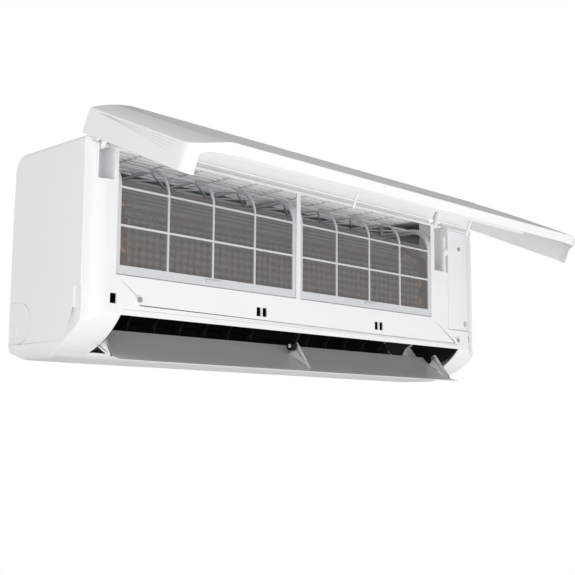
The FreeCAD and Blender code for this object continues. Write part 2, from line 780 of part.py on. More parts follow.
def return_bend(a, b, at_left):
    """Half a ring of tube between two (y, z) places, outside the fins."""
    x = COIL_LEFT - 1.5 if at_left else COIL_RIGHT + 1.5
    out = -1 if at_left else 1
    first, last = Vector(x, *a), Vector(x, *b)
    reach = (last - first).Length / 2
    middle = (first + last) / 2 + Vector(out * reach, 0, 0)
    path = Part.Wire(Part.Arc(first, middle, last).toShape())
    ring = Part.Wire(Part.makeCircle(TUBE, first, Vector(1, 0, 0)))
    return path.makePipeShell([ring], True, True)


def coil_end_plates():
    """Thin metal sheets that carry the tubes at both ends of the front slab."""
    start, end, thick, rows, count = COIL_PARTS["coil_front"]
    plates = []
    for x in ((COIL_LEFT - 1.4, COIL_LEFT - 0.2), (COIL_RIGHT + 0.2, COIL_RIGHT + 1.4)):
        sheet = prism("side", *x, *coil_slab_corners(start, end, thick))
        holes = [
            along_x(place, (x[0] - 1, x[1] + 1), TUBE + 0.1)
            for place in coil_tube_places(start, end, thick, rows, count)
        ]
        plates.append(sheet.cut(Part.makeCompound(holes)))
    return plates


def drain_tray():
    """Trough under the front slab, with a round stub at its right end for the hose."""
    x = (COIL_LEFT - 4.0, COIL_RIGHT + 4.0)
    y = (COIL_FACE - 1.8, COIL_FACE + COIL_THICK + 1.0)
    low = TRAY_BOTTOM
    hollow = box((x[0] + 2, x[1] - 2), (y[0] + 2, y[1] - 2), (low + 2.0, low + 20.0))
    trough = box(x, y, (low, COIL_PARTS["coil_front"][0][1] - 0.2)).cut(hollow)
    feet = [
        box((place - 20, place + 20), (y[0] + 4, y[1] - 4), (low + 2.0, COIL_PARTS["coil_front"][0][1]))
        for place in (x[0] + 60, (x[0] + x[1]) / 2, x[1] - 60)
    ]
    hole = along_x(SPIGOT_CENTRE, (x[1] - 6, x[1] + 2), DRAIN_BORE)
    return joined((trough, *feet)).cut(hole)


def drain_spigot():
    """Stub that the drain hose pushes onto, at the right end of the tray."""
    x = (COIL_RIGHT + 4.0, COIL_RIGHT + 4.0 + DRAIN_LENGTH)
    flange = along_x(SPIGOT_CENTRE, (x[0], x[0] + 2.5), DRAIN_OUTSIDE + 1.5)
    stub = along_x(SPIGOT_CENTRE, x, DRAIN_OUTSIDE)
    bore = along_x(SPIGOT_CENTRE, (x[0] - 1, x[1] + 1), DRAIN_BORE)
    return joined((flange, stub)).cut(bore)


# ---------------------------------------------------------------- chassis and air path


def rear_chassis():
    """Back shell: wall-side plate, fan scroll, throat floor and the two bulkheads."""
    x = (LEFT_BULKHEAD, RIGHT_BULKHEAD)
    wide = (-HALF + 28.0, HALF - 28.0)
    back = box(wide, (BACK_WALL - WALL, BACK_WALL), (12.0, OPENING_TOP - 12.0))
    t = WALL
    scroll = prism(
        "side", *x,
        SCROLL_TOP, (SCROLL_SIDE, FLOOR_START), FLOOR_END,
        throat_place(31.0, -FLOOR_GAP - t), throat_place(-24.0, -FLOOR_GAP - t),
        ((SCROLL_SIDE[0] + t, SCROLL_SIDE[1]), (SCROLL_TOP[0] + t, SCROLL_TOP[1])),
    )
    ledge = box(x, (SCROLL_TOP[0], BACK_WALL - 1), (SCROLL_TOP[1] - t, SCROLL_TOP[1]))
    base = box(wide, (FLOOR_END[0] + 3.0, BACK_WALL - 1), (12.0 - t, 12.0))
    lip = box(x, (FLOOR_END[0] + 0.5, FLOOR_END[0] + 3.5), (12.0 - t, FLOOR_END[1] - 0.8 * t))
    bulkheads = []
    for left in (x[0] - t, x[1]):
        wall = prism(
            "side", left, left + t,
            (BACK_WALL - 1, 11.0), (BACK_WALL - 1, OPENING_TOP - 12),
            (-80.0, OPENING_TOP - 12), (COIL_FACE + 2, 203.0),
            (COIL_FACE + 2, 108.0), (TONGUE[0] + 3.0, 108.0), (-128.0, 88.0), throat_place(-22.0, 0.0),
            (FLOOR_END[0] + 2.0, 11.0),
        )
        bulkheads.append(wall)
    body = joined((back, scroll, ledge, base, lip, *bulkheads))
    cuts = [
        box(PIPE_WINDOW, (BACK_WALL - WALL - 1, BACK_WALL + 1), (12.0, PLATE_CENTRE - PLATE_SIZE[1] / 2)),
        along_x(FAN, (x[0] - 10, x[0] + 10), BUSH_RADIUS),
        along_x(FAN, (x[1] - 10, x[1] + 10), 9.0),
        *hook_slots(),
    ]
    for first, count in (LEFT_VANES, RIGHT_VANES):
        middle = throat_rod(first, (-40.0, -FLOOR_GAP + 1.0), VANE_PIN + 1.0)
        cuts.append(middle)
    cuts.append(box((x[1] - 5, x[1] + 10), (-45, -16.6), (16.0, 62.0)))
    start, end, thick, rows, count = COIL_PARTS["coil_rear"]
    places = coil_tube_places(start, end, thick, rows, count)
    for radius, tube, *_ in PIPES:
        cuts.append(along_x(places[tube], (x[1] - 5, x[1] + 10), radius + 1.5))
    return body.cut(Part.makeCompound(cuts))


def hook_slots():
    """Slots in the back wall that hang on the wall plate's hooks."""
    return [
        box(
            (x - HOOK_WIDTH / 2 - 1, x + HOOK_WIDTH / 2 + 1),
            (BACK_WALL - WALL - 1, BACK_WALL + 1),
            (HOOK_HEIGHT - 12.0, HOOK_HEIGHT + 0.4),
        )
        for x in (-HOOK_SPREAD / 2, HOOK_SPREAD / 2)
    ]


def throat_rod(x, up, radius, forward=0.0):
    """A round bar square to the throat's floor."""
    start = Vector(x, *throat_place(forward, up[0]))
    end = Vector(x, *throat_place(forward, up[1]))
    return rod(start, end, radius)


def outlet_throat():
    """Ceiling and tongue of the outlet, with its end cheeks and the sloping guide at the right."""
    x = (-OUTLET_HALF, OUTLET_HALF)
    t = WALL
    ceiling = prism(
        "side", x[0] - t, x[1] + t,
        TONGUE, CEILING_END, (CEILING_END[0], CEILING_END[1] + t), (TONGUE[0] - 3.5, TONGUE[1] + t),
        (TONGUE[0] - 3.5, TONGUE_TOP), (TONGUE[0] - 1.0, TONGUE_TOP),
    )
    inside = (
        TONGUE, CEILING_END, (FACE + 6.0, LIP_HEIGHT), (-150.0, 34.0), (-124.0, 24.0),
        (FLOOR_END[0] - 3.0, FLOOR_END[1] + 2.0), throat_place(20.0, -FLOOR_GAP + 0.5),
        throat_place(-20.0, -FLOOR_GAP + 0.5), (-86.0, 72.0), (-120.0, 82.0),
    )
    cheeks = [prism("side", low, low + t, *inside) for low in (x[0] - t, x[1])]
    guide = prism(
        "plan", 0, 120,
        (x[1] - 92.0, -60.0), (x[1] + 1.0, -150.0), (x[1] + 1.0, -146.0), (x[1] - 88.0, -60.0),
    )
    guide = guide.common(prism("side", x[0], x[1] + 1, *inside))
    guide = guide.cut(along_x(LOUVER_PIVOT, (0, x[1]), LOUVER_TAIL + 5.0))
    guide = guide.cut(box((0, RIGHT_BULKHEAD + t + 0.2), (-200, 0), (0, 200)))
    body = joined((ceiling, *cheeks, *guide.Solids))
    cuts = [
        along_x(FAN, x, FAN_RADIUS + 3.0),
        along_x(LOUVER_PIVOT, (x[0] - 10, x[0] + 10), LOUVER_PIN + RUNNING),
        along_x(LOUVER_PIVOT, (x[1] - 10, x[1] + 10), LOUVER_PIN),
    ]
    return body.cut(Part.makeCompound(cuts))


def fan_bearing():
    """Rubber bush in the left bulkhead that carries the fan's stub shaft."""
    x = (LEFT_BULKHEAD - WALL - 3.0, LEFT_BULKHEAD + 3.0)
    bush = along_x(FAN, x, BUSH_RADIUS)
    return bush.cut(along_x(FAN, (x[0] + 2.0, x[1] + 1), FAN_SHAFT + RUNNING))


def fan_blade():
    """One curved blade at the top of the wheel, full length."""
    outer = FAN_RADIUS - 0.4
    inner = outer - BLADE_DEPTH
    lean = 12.0
    thick = math.degrees(BLADE_THICK / (outer - BLADE_DEPTH / 2))
    a = turned(FAN, outer, 90 - lean)
    m = turned(FAN, (outer + inner) / 2 + 0.6, 90 - lean * 0.25)
    b = turned(FAN, inner, 90)
    c = turned(FAN, inner, 90 + thick)
    n = turned(FAN, (outer + inner) / 2 + 0.6, 90 - lean * 0.25 + thick)
    d = turned(FAN, outer, 90 - lean + thick * 0.8)
    return prism("side", FAN_LEFT + 2.0, FAN_RIGHT - 2.0, a, (m, b), c, (n, d))


def fan_wheel():
    """Cross-flow wheel: blades between discs, a stub shaft at the left and a hub at the right."""
    blade = fan_blade()
    blades = []
    for k in range(BLADES):
        copy = blade.copy()
        copy.rotate(Vector(0, *FAN), Vector(1, 0, 0), 360.0 * k / BLADES)
        blades.append(copy)
    discs = []
    step = (FAN_RIGHT - FAN_LEFT - 2.5) / (FAN_DISCS - 1)
    for k in range(FAN_DISCS):
        left = FAN_LEFT + k * step
        disc = along_x(FAN, (left, left + 2.5), FAN_RADIUS)
        if 0 < k < FAN_DISCS - 1:
            disc = disc.cut(along_x(FAN, (left - 1, left + 4), FAN_RADIUS - BLADE_DEPTH - 4.0))
        discs.append(disc)
    stub = along_x(FAN, (LEFT_BULKHEAD - WALL - 0.8, FAN_LEFT + 1), FAN_SHAFT)
    hub = along_x(FAN, (FAN_RIGHT - 22.0, FAN_RIGHT - 1.0), 10.0)
    wheel = discs[0].multiFuse([*discs[1:], *blades, stub, hub])
    return wheel.cut(along_x(FAN, (FAN_RIGHT - 24.0, FAN_RIGHT + 2), FAN_SHAFT))


def motor_shaft():
    """Motor shaft with its rotor, turning inside the motor and gripped by the wheel's hub."""
    shaft = along_x(FAN, (FAN_RIGHT - 24.0, MOTOR_LEFT + MOTOR_LENGTH - 8.0), FAN_SHAFT)
    rotor = along_x(FAN, (MOTOR_LEFT + 10.0, MOTOR_LEFT + MOTOR_LENGTH - 14.0), 20.0)
    return joined((shaft, rotor))


def fan_motor():
    """Motor can with a hollow for the rotor and a bearing bore for the shaft."""
    x = (MOTOR_LEFT, MOTOR_LEFT + MOTOR_LENGTH)
    can = along_x(FAN, x, MOTOR_RADIUS)
    boss = along_x(FAN, (x[0] - 5.0, x[0] + 1), 12.0)
    body = joined((can, boss))
    hollow = along_x(FAN, (x[0] + 8.0, x[1] - 12.0), 21.0)
    bore = along_x(FAN, (x[0] - 6.0, x[1] - 6.0), FAN_SHAFT + RUNNING)
    return body.cut(hollow).cut(bore)


def motor_clamp():
    """Saddle that ties the motor to the chassis, split at the middle and screwed at the back."""
    x = (MOTOR_LEFT + 24.0, MOTOR_LEFT + MOTOR_LENGTH - 8.0)
    band = along_x(FAN, x, MOTOR_RADIUS + 3.0).cut(along_x(FAN, x, MOTOR_RADIUS))
    foot_high = box(x, (FAN[0], BACK_WALL - WALL), (FAN[1] + MOTOR_RADIUS - 1.0, FAN[1] + MOTOR_RADIUS + 3.0))
    foot_low = box(x, (FAN[0], BACK_WALL - WALL), (FAN[1] - MOTOR_RADIUS - 3.0, FAN[1] - MOTOR_RADIUS + 1.0))
    hole = along_x(FAN, x, MOTOR_RADIUS)
    return joined((band, foot_high.cut(hole), foot_low.cut(hole)))


# ---------------------------------------------------------------- louver


def louver():
    """Air guide flap: a slightly hollow blade with an arm at each end and a lug in the middle."""
    start, end = LOUVER_REAR, LOUVER_EDGE
    inner = between(start, end, 0.5, LOUVER_SAG)
    outer = between(start, end, 0.5, LOUVER_SAG + LOUVER_THICK)
    blade = prism(
        "side", -LOUVER_HALF, LOUVER_HALF,
        start, (inner, end), between(start, end, 0.995, 1.2),
        (outer, between(start, end, 0.01, 1.8)),
    )
    arms = []
    foot_high = between(start, end, 0.22, LOUVER_SAG - 1.5)
    foot_low = between(start, end, 0.78, LOUVER_SAG - 1.5)
    ends = ((-LOUVER_HALF, -LOUVER_HALF + 2.5), (LOUVER_HALF - 2.5, LOUVER_HALF))
    for x in (*ends, (CENTRE_BEARING + 9, CENTRE_BEARING + 12)):
        arms.append(
            prism(
                "side", *x,
                foot_high, foot_low, turned(LOUVER_PIVOT, 7.0, 180.0), turned(LOUVER_PIVOT, 7.0, 100.0),
                turned(LOUVER_PIVOT, 7.0, 20.0), turned(LOUVER_PIVOT, 7.0, -40.0),
            )
        )
    pin = along_x(LOUVER_PIVOT, (CENTRE_BEARING - 5.0, CENTRE_BEARING + 10), LOUVER_PIN)
    drive = along_x(LOUVER_PIVOT, (-OUTLET_HALF - 8.0, -LOUVER_HALF + 1), LOUVER_PIN)
    body = joined((blade, *arms, pin, drive))
    return body.cut(along_x(LOUVER_PIVOT, (LOUVER_HALF - 8, LOUVER_HALF + 1), LOUVER_PIN + RUNNING))


def louver_hanger():
    """Bracket from the outlet's ceiling with the ring that carries the louver's middle pin."""
    x = (CENTRE_BEARING - 4.0, CENTRE_BEARING + 6.0)
    ring = along_x(LOUVER_PIVOT, x, 7.0)
    top_front = between(TONGUE, CEILING_END, 0.55, 0.3)
    top_rear = between(TONGUE, CEILING_END, 0.28, 0.3)
    leg = prism(
        "side", CENTRE_BEARING - 1.0, CENTRE_BEARING + 2.0,
        turned(LOUVER_PIVOT, 5.0, 200.0), top_front, top_rear, turned(LOUVER_PIVOT, 5.0, 60.0),
    )
    return joined((ring, leg)).cut(along_x(LOUVER_PIVOT, (x[0] - 1, x[1] + 1), LOUVER_PIN + RUNNING))


def louver_pivot_pin():
    """Pin from the right cheek that the louver's right arm turns on."""
    x = (LOUVER_HALF - 6.0, OUTLET_HALF + 6.0)
    head = along_x(LOUVER_PIVOT, (OUTLET_HALF + WALL, OUTLET_HALF + WALL + 3.5), 6.0)
    return joined((along_x(LOUVER_PIVOT, x, LOUVER_PIN), head))


def louver_motor():
    """Stepper that turns the louver from the left, on the outside of the cheek."""
    x = (-OUTLET_HALF - WALL - 16.0, -OUTLET_HALF - WALL)
    can = along_x(LOUVER_PIVOT, x, 13.0)
    y, z = LOUVER_PIVOT
    ears = box((x[1] - 1.5, x[1]), (y - 17, y + 17), (z - 4, z + 4))
    body = joined((can, ears))
    return body.cut(along_x(LOUVER_PIVOT, (x[1] - 8.0, x[1] + 1), LOUVER_PIN + RUNNING))


# ---------------------------------------------------------------- swing vanes
def vane_outline():
    """(y, z) corners of a vane, hollowed to clear the fan behind it and the louver before it."""
    shape = (
        (-24.0, 0.0), (9.0, 0.0), (1.0, 12.0), (-1.0, 25.0), (2.0, 38.0), (13.0, 49.0), (28.0, 55.0),
        (28.0, VANE_HEIGHT), (-5.0, VANE_HEIGHT), (-6.0, 50.0), (-11.0, 36.0), (-23.0, 18.0),
    )
    return [throat_place(f, u) for f, u in shape]


def vane(x, driven):
    """A swing vane with its root pin and, at the top, its link pin; the driven one has a longer pin."""
    plate = prism("side", x - VANE_THICK / 2, x + VANE_THICK / 2, *vane_outline())
    depth = -FLOOR_GAP - 9.0 if driven else -FLOOR_GAP + 1.2
    root = throat_rod(x, (depth, 1.0), VANE_PIN)
    barrel = throat_rod(x, (0.0, 12.0), VANE_PIN + 0.4)
    link = throat_rod(x, (VANE_HEIGHT - 4.0, VANE_HEIGHT + 4.5), LINK_PIN, LINK_ARM)
    return joined((plate, barrel, root, link))


def vane_places(group):
    """X of each vane in a group."""
    first, count = group
    return [first + k * VANE_PITCH for k in range(count)]


def throat_prism(x, forward, up):
    """A block square to the throat's floor."""
    corners = ((forward[0], up[0]), (forward[1], up[0]), (forward[1], up[1]), (forward[0], up[1]))
    return prism("side", *x, *[throat_place(f, u) for f, u in corners])


def vane_base(group):
    """Strip on the throat's floor with a bearing hole for each vane of a group."""
    places = vane_places(group)
    x = (places[0] - 9.0, places[-1] + 9.0)
    strip = throat_prism(x, (-8.0, 8.0), (-FLOOR_GAP, -1.0))
    holes = [throat_rod(place, (-FLOOR_GAP - 2, 0), VANE_PIN + RUNNING) for place in places]
    return strip.cut(Part.makeCompound(holes))


def link_bar(group):
    """Bar that ties a group's vanes together; its slots take up the link pins' arc."""
    places = vane_places(group)
    slack = 0.35
    travel = LINK_ARM * (1 - math.cos(math.radians(VANE_SWING)))
    reach = LINK_PIN + slack
    forward = (LINK_ARM - travel - reach, LINK_ARM + reach)
    level = (VANE_HEIGHT + 1.2, VANE_HEIGHT + 3.2)
    bar = throat_prism((places[0] - 6.0, places[-1] + 6.0), (forward[0] - 2.5, forward[1] + 2.5), level)
    slots = [
        throat_prism((place - reach, place + reach), forward, (level[0] - 1, level[1] + 1)) for place in places
    ]
    return bar.cut(Part.makeCompound(slots))


def vane_motor(group):
    """Stepper under the throat's floor that turns a group's first vane."""
    x = group[0]
    top = -FLOOR_GAP - WALL - 0.6
    can = throat_rod(x, (top - 15.0, top), 11.0)
    bore = throat_rod(x, (top - 9.0, top + 1), VANE_PIN + RUNNING)
    return can.cut(bore)


# ---------------------------------------------------------------- service bay


def electrical_box():
    """Open-fronted plastic box for the board and terminals."""
    outside = box(BOX_X, BOX_Y, BOX_Z)
    inside = box((BOX_X[0] + 2, BOX_X[1] - 2), (BOX_Y[0] - 5, BOX_Y[1] - 2), (BOX_Z[0] + 2, BOX_Z[1] - 2))
    cable_way = along_x(CABLE_WAY, (BOX_X[0] - 1, BOX_X[0] + 3), 7.0)
    x, z = COVER_SCREW
    bar = box(BOX_X, (BOX_Y[0], BOX_Y[0] + 5.0), (z - 4.0, z + 4.0))
    boss = along_y(COVER_SCREW, (FACE + WALL + 0.5, BOX_Y[0] + 5.0), 4.0)
    body = joined((outside.cut(inside).cut(cable_way), bar, boss, button_sleeve()))
    body = body.cut(along_y(BUTTON_PLACE, (FACE, BOX_Y[0] + 6.0), BUTTON_RADIUS + RUNNING))
    return body.cut(along_y(COVER_SCREW, (FACE, BOX_Y[0] + 6.0), 1.6))


def circuit_board():
    """Control board with its capacitor, relay and transformer."""
    y = BOX_Y[1] - 8.0
    x = (BOX_X[0] + 6.0, BOX_X[1] - 6.0)
    board = box(x, (y - 1.6, y), (BOX_Z[0] + 8, BOX_Z[1] - 44))
    stands = [
        rod(Vector(a, y - 0.5, b), Vector(a, BOX_Y[1] - 2.0, b), 2.5)
        for a in (x[0] + 5, x[1] - 5) for b in (BOX_Z[0] + 14, BOX_Z[1] - 50)
    ]
    capacitor = rod(Vector(x[0] + 14, y - 26, 128), Vector(x[0] + 14, y - 1, 128), 9.0)
    relay = box((x[0] + 28, x[0] + 44), (y - 17, y - 1), (112, 126))
    transformer = box((x[0] + 10, x[0] + 42), (y - 24, y - 1), (152, 180))
    return joined((board, *stands, capacitor, relay, transformer))


def terminal_block():
    """Screw terminals for the mains and outdoor-unit cable."""
    low = BOX_Z[1] - 34
    x = (BOX_X[0] + 8.0, BOX_X[1] - 8.0)
    body = box(x, (BOX_Y[1] - 22.0, BOX_Y[1] - 2.0), (low, low + 22))
    cuts = []
    count = 5
    pitch = (x[1] - x[0]) / count
    for k in range(count):
        middle = x[0] + (k + 0.5) * pitch
        cuts.append(box((middle - 3.5, middle + 3.5), (BOX_Y[1] - 30, BOX_Y[1] - 16.0), (low - 1, low + 23)))
        cuts.append(rod(Vector(middle, BOX_Y[1] - 17, low + 11), Vector(middle, BOX_Y[1] - 8, low + 11), 1.5))
    return body.cut(Part.makeCompound(cuts))


def along_y(place, y, radius):
    """A round bar along Y with its centre line at an (x, z) place."""
    return rod(Vector(place[0], y[0], place[1]), Vector(place[0], y[1], place[1]), radius)


def push_button():
    """Manual run button: a cap through the cover, with a flange behind it."""
    back = FACE + WALL + 0.2
    cap = along_y(BUTTON_PLACE, (FACE - 1.2, back + 8.0), BUTTON_RADIUS)
    flange = along_y(BUTTON_PLACE, (back, back + 2.0), BUTTON_RADIUS + BUTTON_FLANGE)
    return joined((cap, flange))


def button_sleeve():
    """Sleeve that guides the button and stops its flange at full travel."""
    front = FACE + WALL + 0.2
    step = front + 2.0 + BUTTON_TRAVEL + 0.1
    wide = BUTTON_RADIUS + BUTTON_FLANGE
    sleeve = along_y(BUTTON_PLACE, (front, BOX_Y[0] + 4.0), wide + 1.6)
    return sleeve.cut(along_y(BUTTON_PLACE, (front - 1, step), wide + 0.2)).cut(
        along_y(BUTTON_PLACE, (step - 1, BOX_Y[0] + 5.0), BUTTON_RADIUS + RUNNING)
    )


def cover_screw():
    """Screw through the electrical cover into the box's cross bar."""
    head = along_y(COVER_SCREW, (FACE - 2.0, FACE), 3.4)
    shank = along_y(COVER_SCREW, (FACE - 0.5, BOX_Y[0] + 4.0), 1.6)
    x, z = COVER_SCREW
    slot = box((x - 0.5, x + 0.5), (FACE - 3, FACE - 1.2), (z - 2.2, z + 2.2))
    return joined((head, shank)).cut(slot)


def front_screws():
    """The two screws that hold the front frame, in the tabs above the lip."""
    screws = []
    for x, z in SCREW_TABS:
        head = rod(Vector(x, FACE - 3.6, z), Vector(x, FACE - 1.5, z), 3.6)
        shank = rod(Vector(x, FACE - 1.6, z), Vector(x, FACE + 9, z), 1.6)
        slot_a = box((x - 2.2, x + 2.2), (FACE - 5, FACE - 2.7), (z - 0.5, z + 0.5))
        slot_b = box((x - 0.5, x + 0.5), (FACE - 5, FACE - 2.7), (z - 2.2, z + 2.2))
        screws.append(joined((head, shank)).cut(slot_a).cut(slot_b))
    return screws


# ---------------------------------------------------------------- wall plate and pipes
def wall_plate():
    """Steel plate screwed to the wall, with the two hooks that the chassis hangs on."""
    half, tall = PLATE_SIZE[0] / 2, PLATE_SIZE[1] / 2
    z = (PLATE_CENTRE - tall, PLATE_CENTRE + tall)
    sheet = rounded("front", (-PLATE_THICK, 0), (-half, half), z, (8, 8, 8, 8))
    levels = (z[0], z[1] - PLATE_THICK)
    rims = [box((10 - half, half - 10), (-8.0, -0.2), (level, level + PLATE_THICK)) for level in levels]
    hooks = []
    for x in (-HOOK_SPREAD / 2, HOOK_SPREAD / 2):
        wide = (x - HOOK_WIDTH / 2, x + HOOK_WIDTH / 2)
        hooks.append(box(wide, (BACK_WALL - WALL - 3.5, -0.2), (HOOK_HEIGHT - 1.8, HOOK_HEIGHT)))
        lip = (BACK_WALL - WALL - 3.5, BACK_WALL - WALL - 1.7)
        hooks.append(box(wide, lip, (HOOK_HEIGHT - 1.8, HOOK_HEIGHT + 6.0)))
    holes = [
        rod(Vector(sx * PLATE_HOLES[0] / 2, -5, PLATE_CENTRE + sz * PLATE_HOLES[1] / 2),
            Vector(sx * PLATE_HOLES[0] / 2, 1, PLATE_CENTRE + sz * PLATE_HOLES[1] / 2), PLATE_HOLE)
        for sx in (-1, 1) for sz in (-1, 1)
    ]
    windows = [box((x - 45, x + 45), (-5, 1), (PLATE_CENTRE - 40, PLATE_CENTRE + 30)) for x in (-120.0, 120.0)]
    return joined((sheet, *rims, *hooks)).cut(Part.makeCompound([*holes, *windows]))


def pipe_stub(radius, tube, drop, height, reach):
    """A copper pipe from a coil tube's right end, down and back along the rear channel to its joint."""
    start, end, thick, rows, count = COIL_PARTS["coil_rear"]
    place = coil_tube_places(start, end, thick, rows, count)[tube]
    across = RIGHT_BULKHEAD + WALL + drop
    points = [
        Vector(COIL_RIGHT + 1.6, *place),
        Vector(across, *place),
        Vector(across, PIPE_DEPTH, place[1] - 24.0),
        Vector(across, PIPE_DEPTH, height),
        Vector(reach, PIPE_DEPTH, height),
    ]
    return wire_run(points, radius, 1.6 * radius)


def flare_union(radius, tube, drop, height, reach):
    """Threaded union with its nut, on the end of a pipe."""
    centre = (PIPE_DEPTH, height)
    body = along_x(centre, (reach - 18.0, reach), radius + 1.8)
    nut = prism("side", reach - 14.0, reach - 4.0, *[turned(centre, radius + 4.2, 60 * k) for k in range(6)])
    return joined((body, nut)).cut(along_x(centre, (reach - 20, reach - 0.5), radius - 0.8))


# radius, coil tube, drop beside the bulkhead, height, end


def air_sensor():
    """Room-air thermistor in its clip on the right rail's back, beside the right filter."""
    x = FILTER_RIGHT + 10.0
    clip = box((x - 1, x + 7), (COIL_FACE - 6.0, COIL_FACE + 4.0), (130, 146))
    bead = rod(Vector(x + 3, COIL_FACE - 2, 146), Vector(x + 3, COIL_FACE - 2, 158), 2.2)
    return joined((clip, bead))


def motor_lead():
    """Lead from the fan motor's back end through the box's cable way to the board."""
    x = MOTOR_LEFT + MOTOR_LENGTH - 3.0
    rise = math.sqrt(MOTOR_RADIUS**2 - (CABLE_WAY[0] - 2.2 - FAN[0]) ** 2)
    points = [
        Vector(x, CABLE_WAY[0], FAN[1] + rise),
        Vector(x, *CABLE_WAY),
        Vector(BOX_X[0] + 11.0, *CABLE_WAY),
    ]
    return wire_run(points, 2.2, 5.0)


def main():
    """Builds every node."""
    os.makedirs("parts", exist_ok=True)
    write("front_frame", front_frame())
    write("hinge_pockets", *hinge_pockets())
    write("top_grille", top_grille())
    write("electrical_cover", electrical_cover())
    write("cover_screw", cover_screw())
    write("frame_screws", *front_screws())
    write("pipe_knockouts", knockout(-1), knockout(1))

    write("front_panel", opened(front_panel()))
    write("panel_windows", *[opened(window) for window in panel_windows()])
    write("panel_stiffener", opened(panel_stiffener()))
    write("panel_hinge_arms", *[opened(arm) for arm in panel_arms()])
    write("panel_stay_guide", stay_guide())

    column = COLUMN / 2 + LOOSE
    filter_limits = {
        "left": (FILTER_LEFT + LOOSE, COLUMN_MIDDLE - column),
        "right": (COLUMN_MIDDLE + column, FILTER_RIGHT - LOOSE),
    }
    for side, x in filter_limits.items():
        frame = filter_frame(x)
        write(f"filter_frame_{side}", frame)
        write(f"filter_mesh_{side}", filter_mesh(x, frame))

    for name in COIL_PARTS:
        write(name, coil_fins(name))
    write("coil_tubes", *coil_tubes())
    write("coil_end_plates", *coil_end_plates())
    write("drain_tray", drain_tray())
    write("drain_spigot", drain_spigot())
    write("refrigerant_pipes", *[pipe_stub(*pipe) for pipe in PIPES])
    write("flare_unions", *[flare_union(*pipe) for pipe in PIPES])

    write("rear_chassis", rear_chassis())
    write("outlet_throat", outlet_throat())
    write("wall_plate", wall_plate())
    write("fan_wheel", fan_wheel())
    write("motor_shaft", motor_shaft())
    write("fan_bearing", fan_bearing())
    write("fan_motor", fan_motor())
    write("motor_clamp", motor_clamp())
    write("motor_lead", motor_lead())

    write("louver", louver())
    write("louver_hanger", louver_hanger())
    write("louver_pivot_pin", louver_pivot_pin())
    write("louver_motor", louver_motor())
    for side, group in (("left", LEFT_VANES), ("right", RIGHT_VANES)):
        for number, x in enumerate(vane_places(group), 1):
            write(f"vane_{side}_{number}", vane(x, number == 1))
        write(f"vane_link_{side}", link_bar(group))
        write(f"vane_base_{side}", vane_base(group))
        write(f"vane_motor_{side}", vane_motor(group))

    write("electrical_box", electrical_box())
    write("circuit_board", circuit_board())
    write("terminal_block", terminal_block())
    write("push_button", push_button())
    write("air_sensor", air_sensor())


main()
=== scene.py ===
"""Looks of a wall-mounted split air conditioner's indoor unit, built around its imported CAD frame.

Everything is in metres in the frame's own axes: X along the wall, Y into the wall, Z up.
"""
import json
import math

import bmesh
import bpy
from bpy.props import FloatProperty, FloatVectorProperty, PointerProperty
from mathutils import Euler, Matrix, Vector
from mathutils.bvhtree import BVHTree


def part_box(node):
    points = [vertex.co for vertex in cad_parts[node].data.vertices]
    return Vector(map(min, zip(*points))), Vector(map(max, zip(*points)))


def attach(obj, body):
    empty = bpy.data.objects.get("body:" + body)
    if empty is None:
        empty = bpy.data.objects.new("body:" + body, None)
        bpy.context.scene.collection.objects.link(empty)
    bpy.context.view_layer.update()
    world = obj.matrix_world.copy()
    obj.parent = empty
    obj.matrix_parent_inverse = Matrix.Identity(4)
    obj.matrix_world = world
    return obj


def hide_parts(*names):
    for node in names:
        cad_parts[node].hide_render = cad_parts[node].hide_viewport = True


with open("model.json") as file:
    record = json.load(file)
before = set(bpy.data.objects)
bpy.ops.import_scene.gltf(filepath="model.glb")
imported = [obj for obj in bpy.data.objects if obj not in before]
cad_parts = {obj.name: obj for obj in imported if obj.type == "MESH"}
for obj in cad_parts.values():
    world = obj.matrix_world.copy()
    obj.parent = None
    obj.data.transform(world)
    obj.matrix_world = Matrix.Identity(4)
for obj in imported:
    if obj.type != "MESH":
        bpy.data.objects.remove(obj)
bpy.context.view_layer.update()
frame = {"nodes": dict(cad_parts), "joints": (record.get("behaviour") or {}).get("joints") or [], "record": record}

bl_info = {
    "name": "Split air conditioner indoor unit",
    "version": (1, 0, 0),
    "blender": (4, 5, 0),
    "location": "3D View > Sidebar > Indoor Unit",
    "description": "Builds the surfaces and finishes of an indoor unit around its frame",
    "category": "Object",
}

BODY = {node: body for body, nodes in frame["record"]["behaviour"]["bodies"].items() for node in nodes}
SLOT = {part["node"]: part["material_slot"] for part in frame["record"]["subparts"]}
HINGE = next(joint for joint in frame["joints"] if joint["name"] == "panel_hinge")
AIR_PATH_DEPTH = -0.019  # where the chassis stops lining the air path, and its black, partly painted shade, ends
TUBE_PITCH = 0.0105  # distance between the bands of the fins
BOARD_GREEN = (0.03, 0.16, 0.07)
DOT_ROWS = 4
LAMP_AIM = (0, -0.2, 0)


# ---------------------------------------------------------------- settings
def colour(name, value, description):
    """A colour property with this default."""
    return FloatVectorProperty(
        name=name, description=description, subtype="COLOR", size=3, min=0, max=1, default=value
    )


def length(name, value, description):
    """A length property in metres with this default."""
    return FloatProperty(name=name, description=description, default=value, min=0, unit="LENGTH", precision=5)


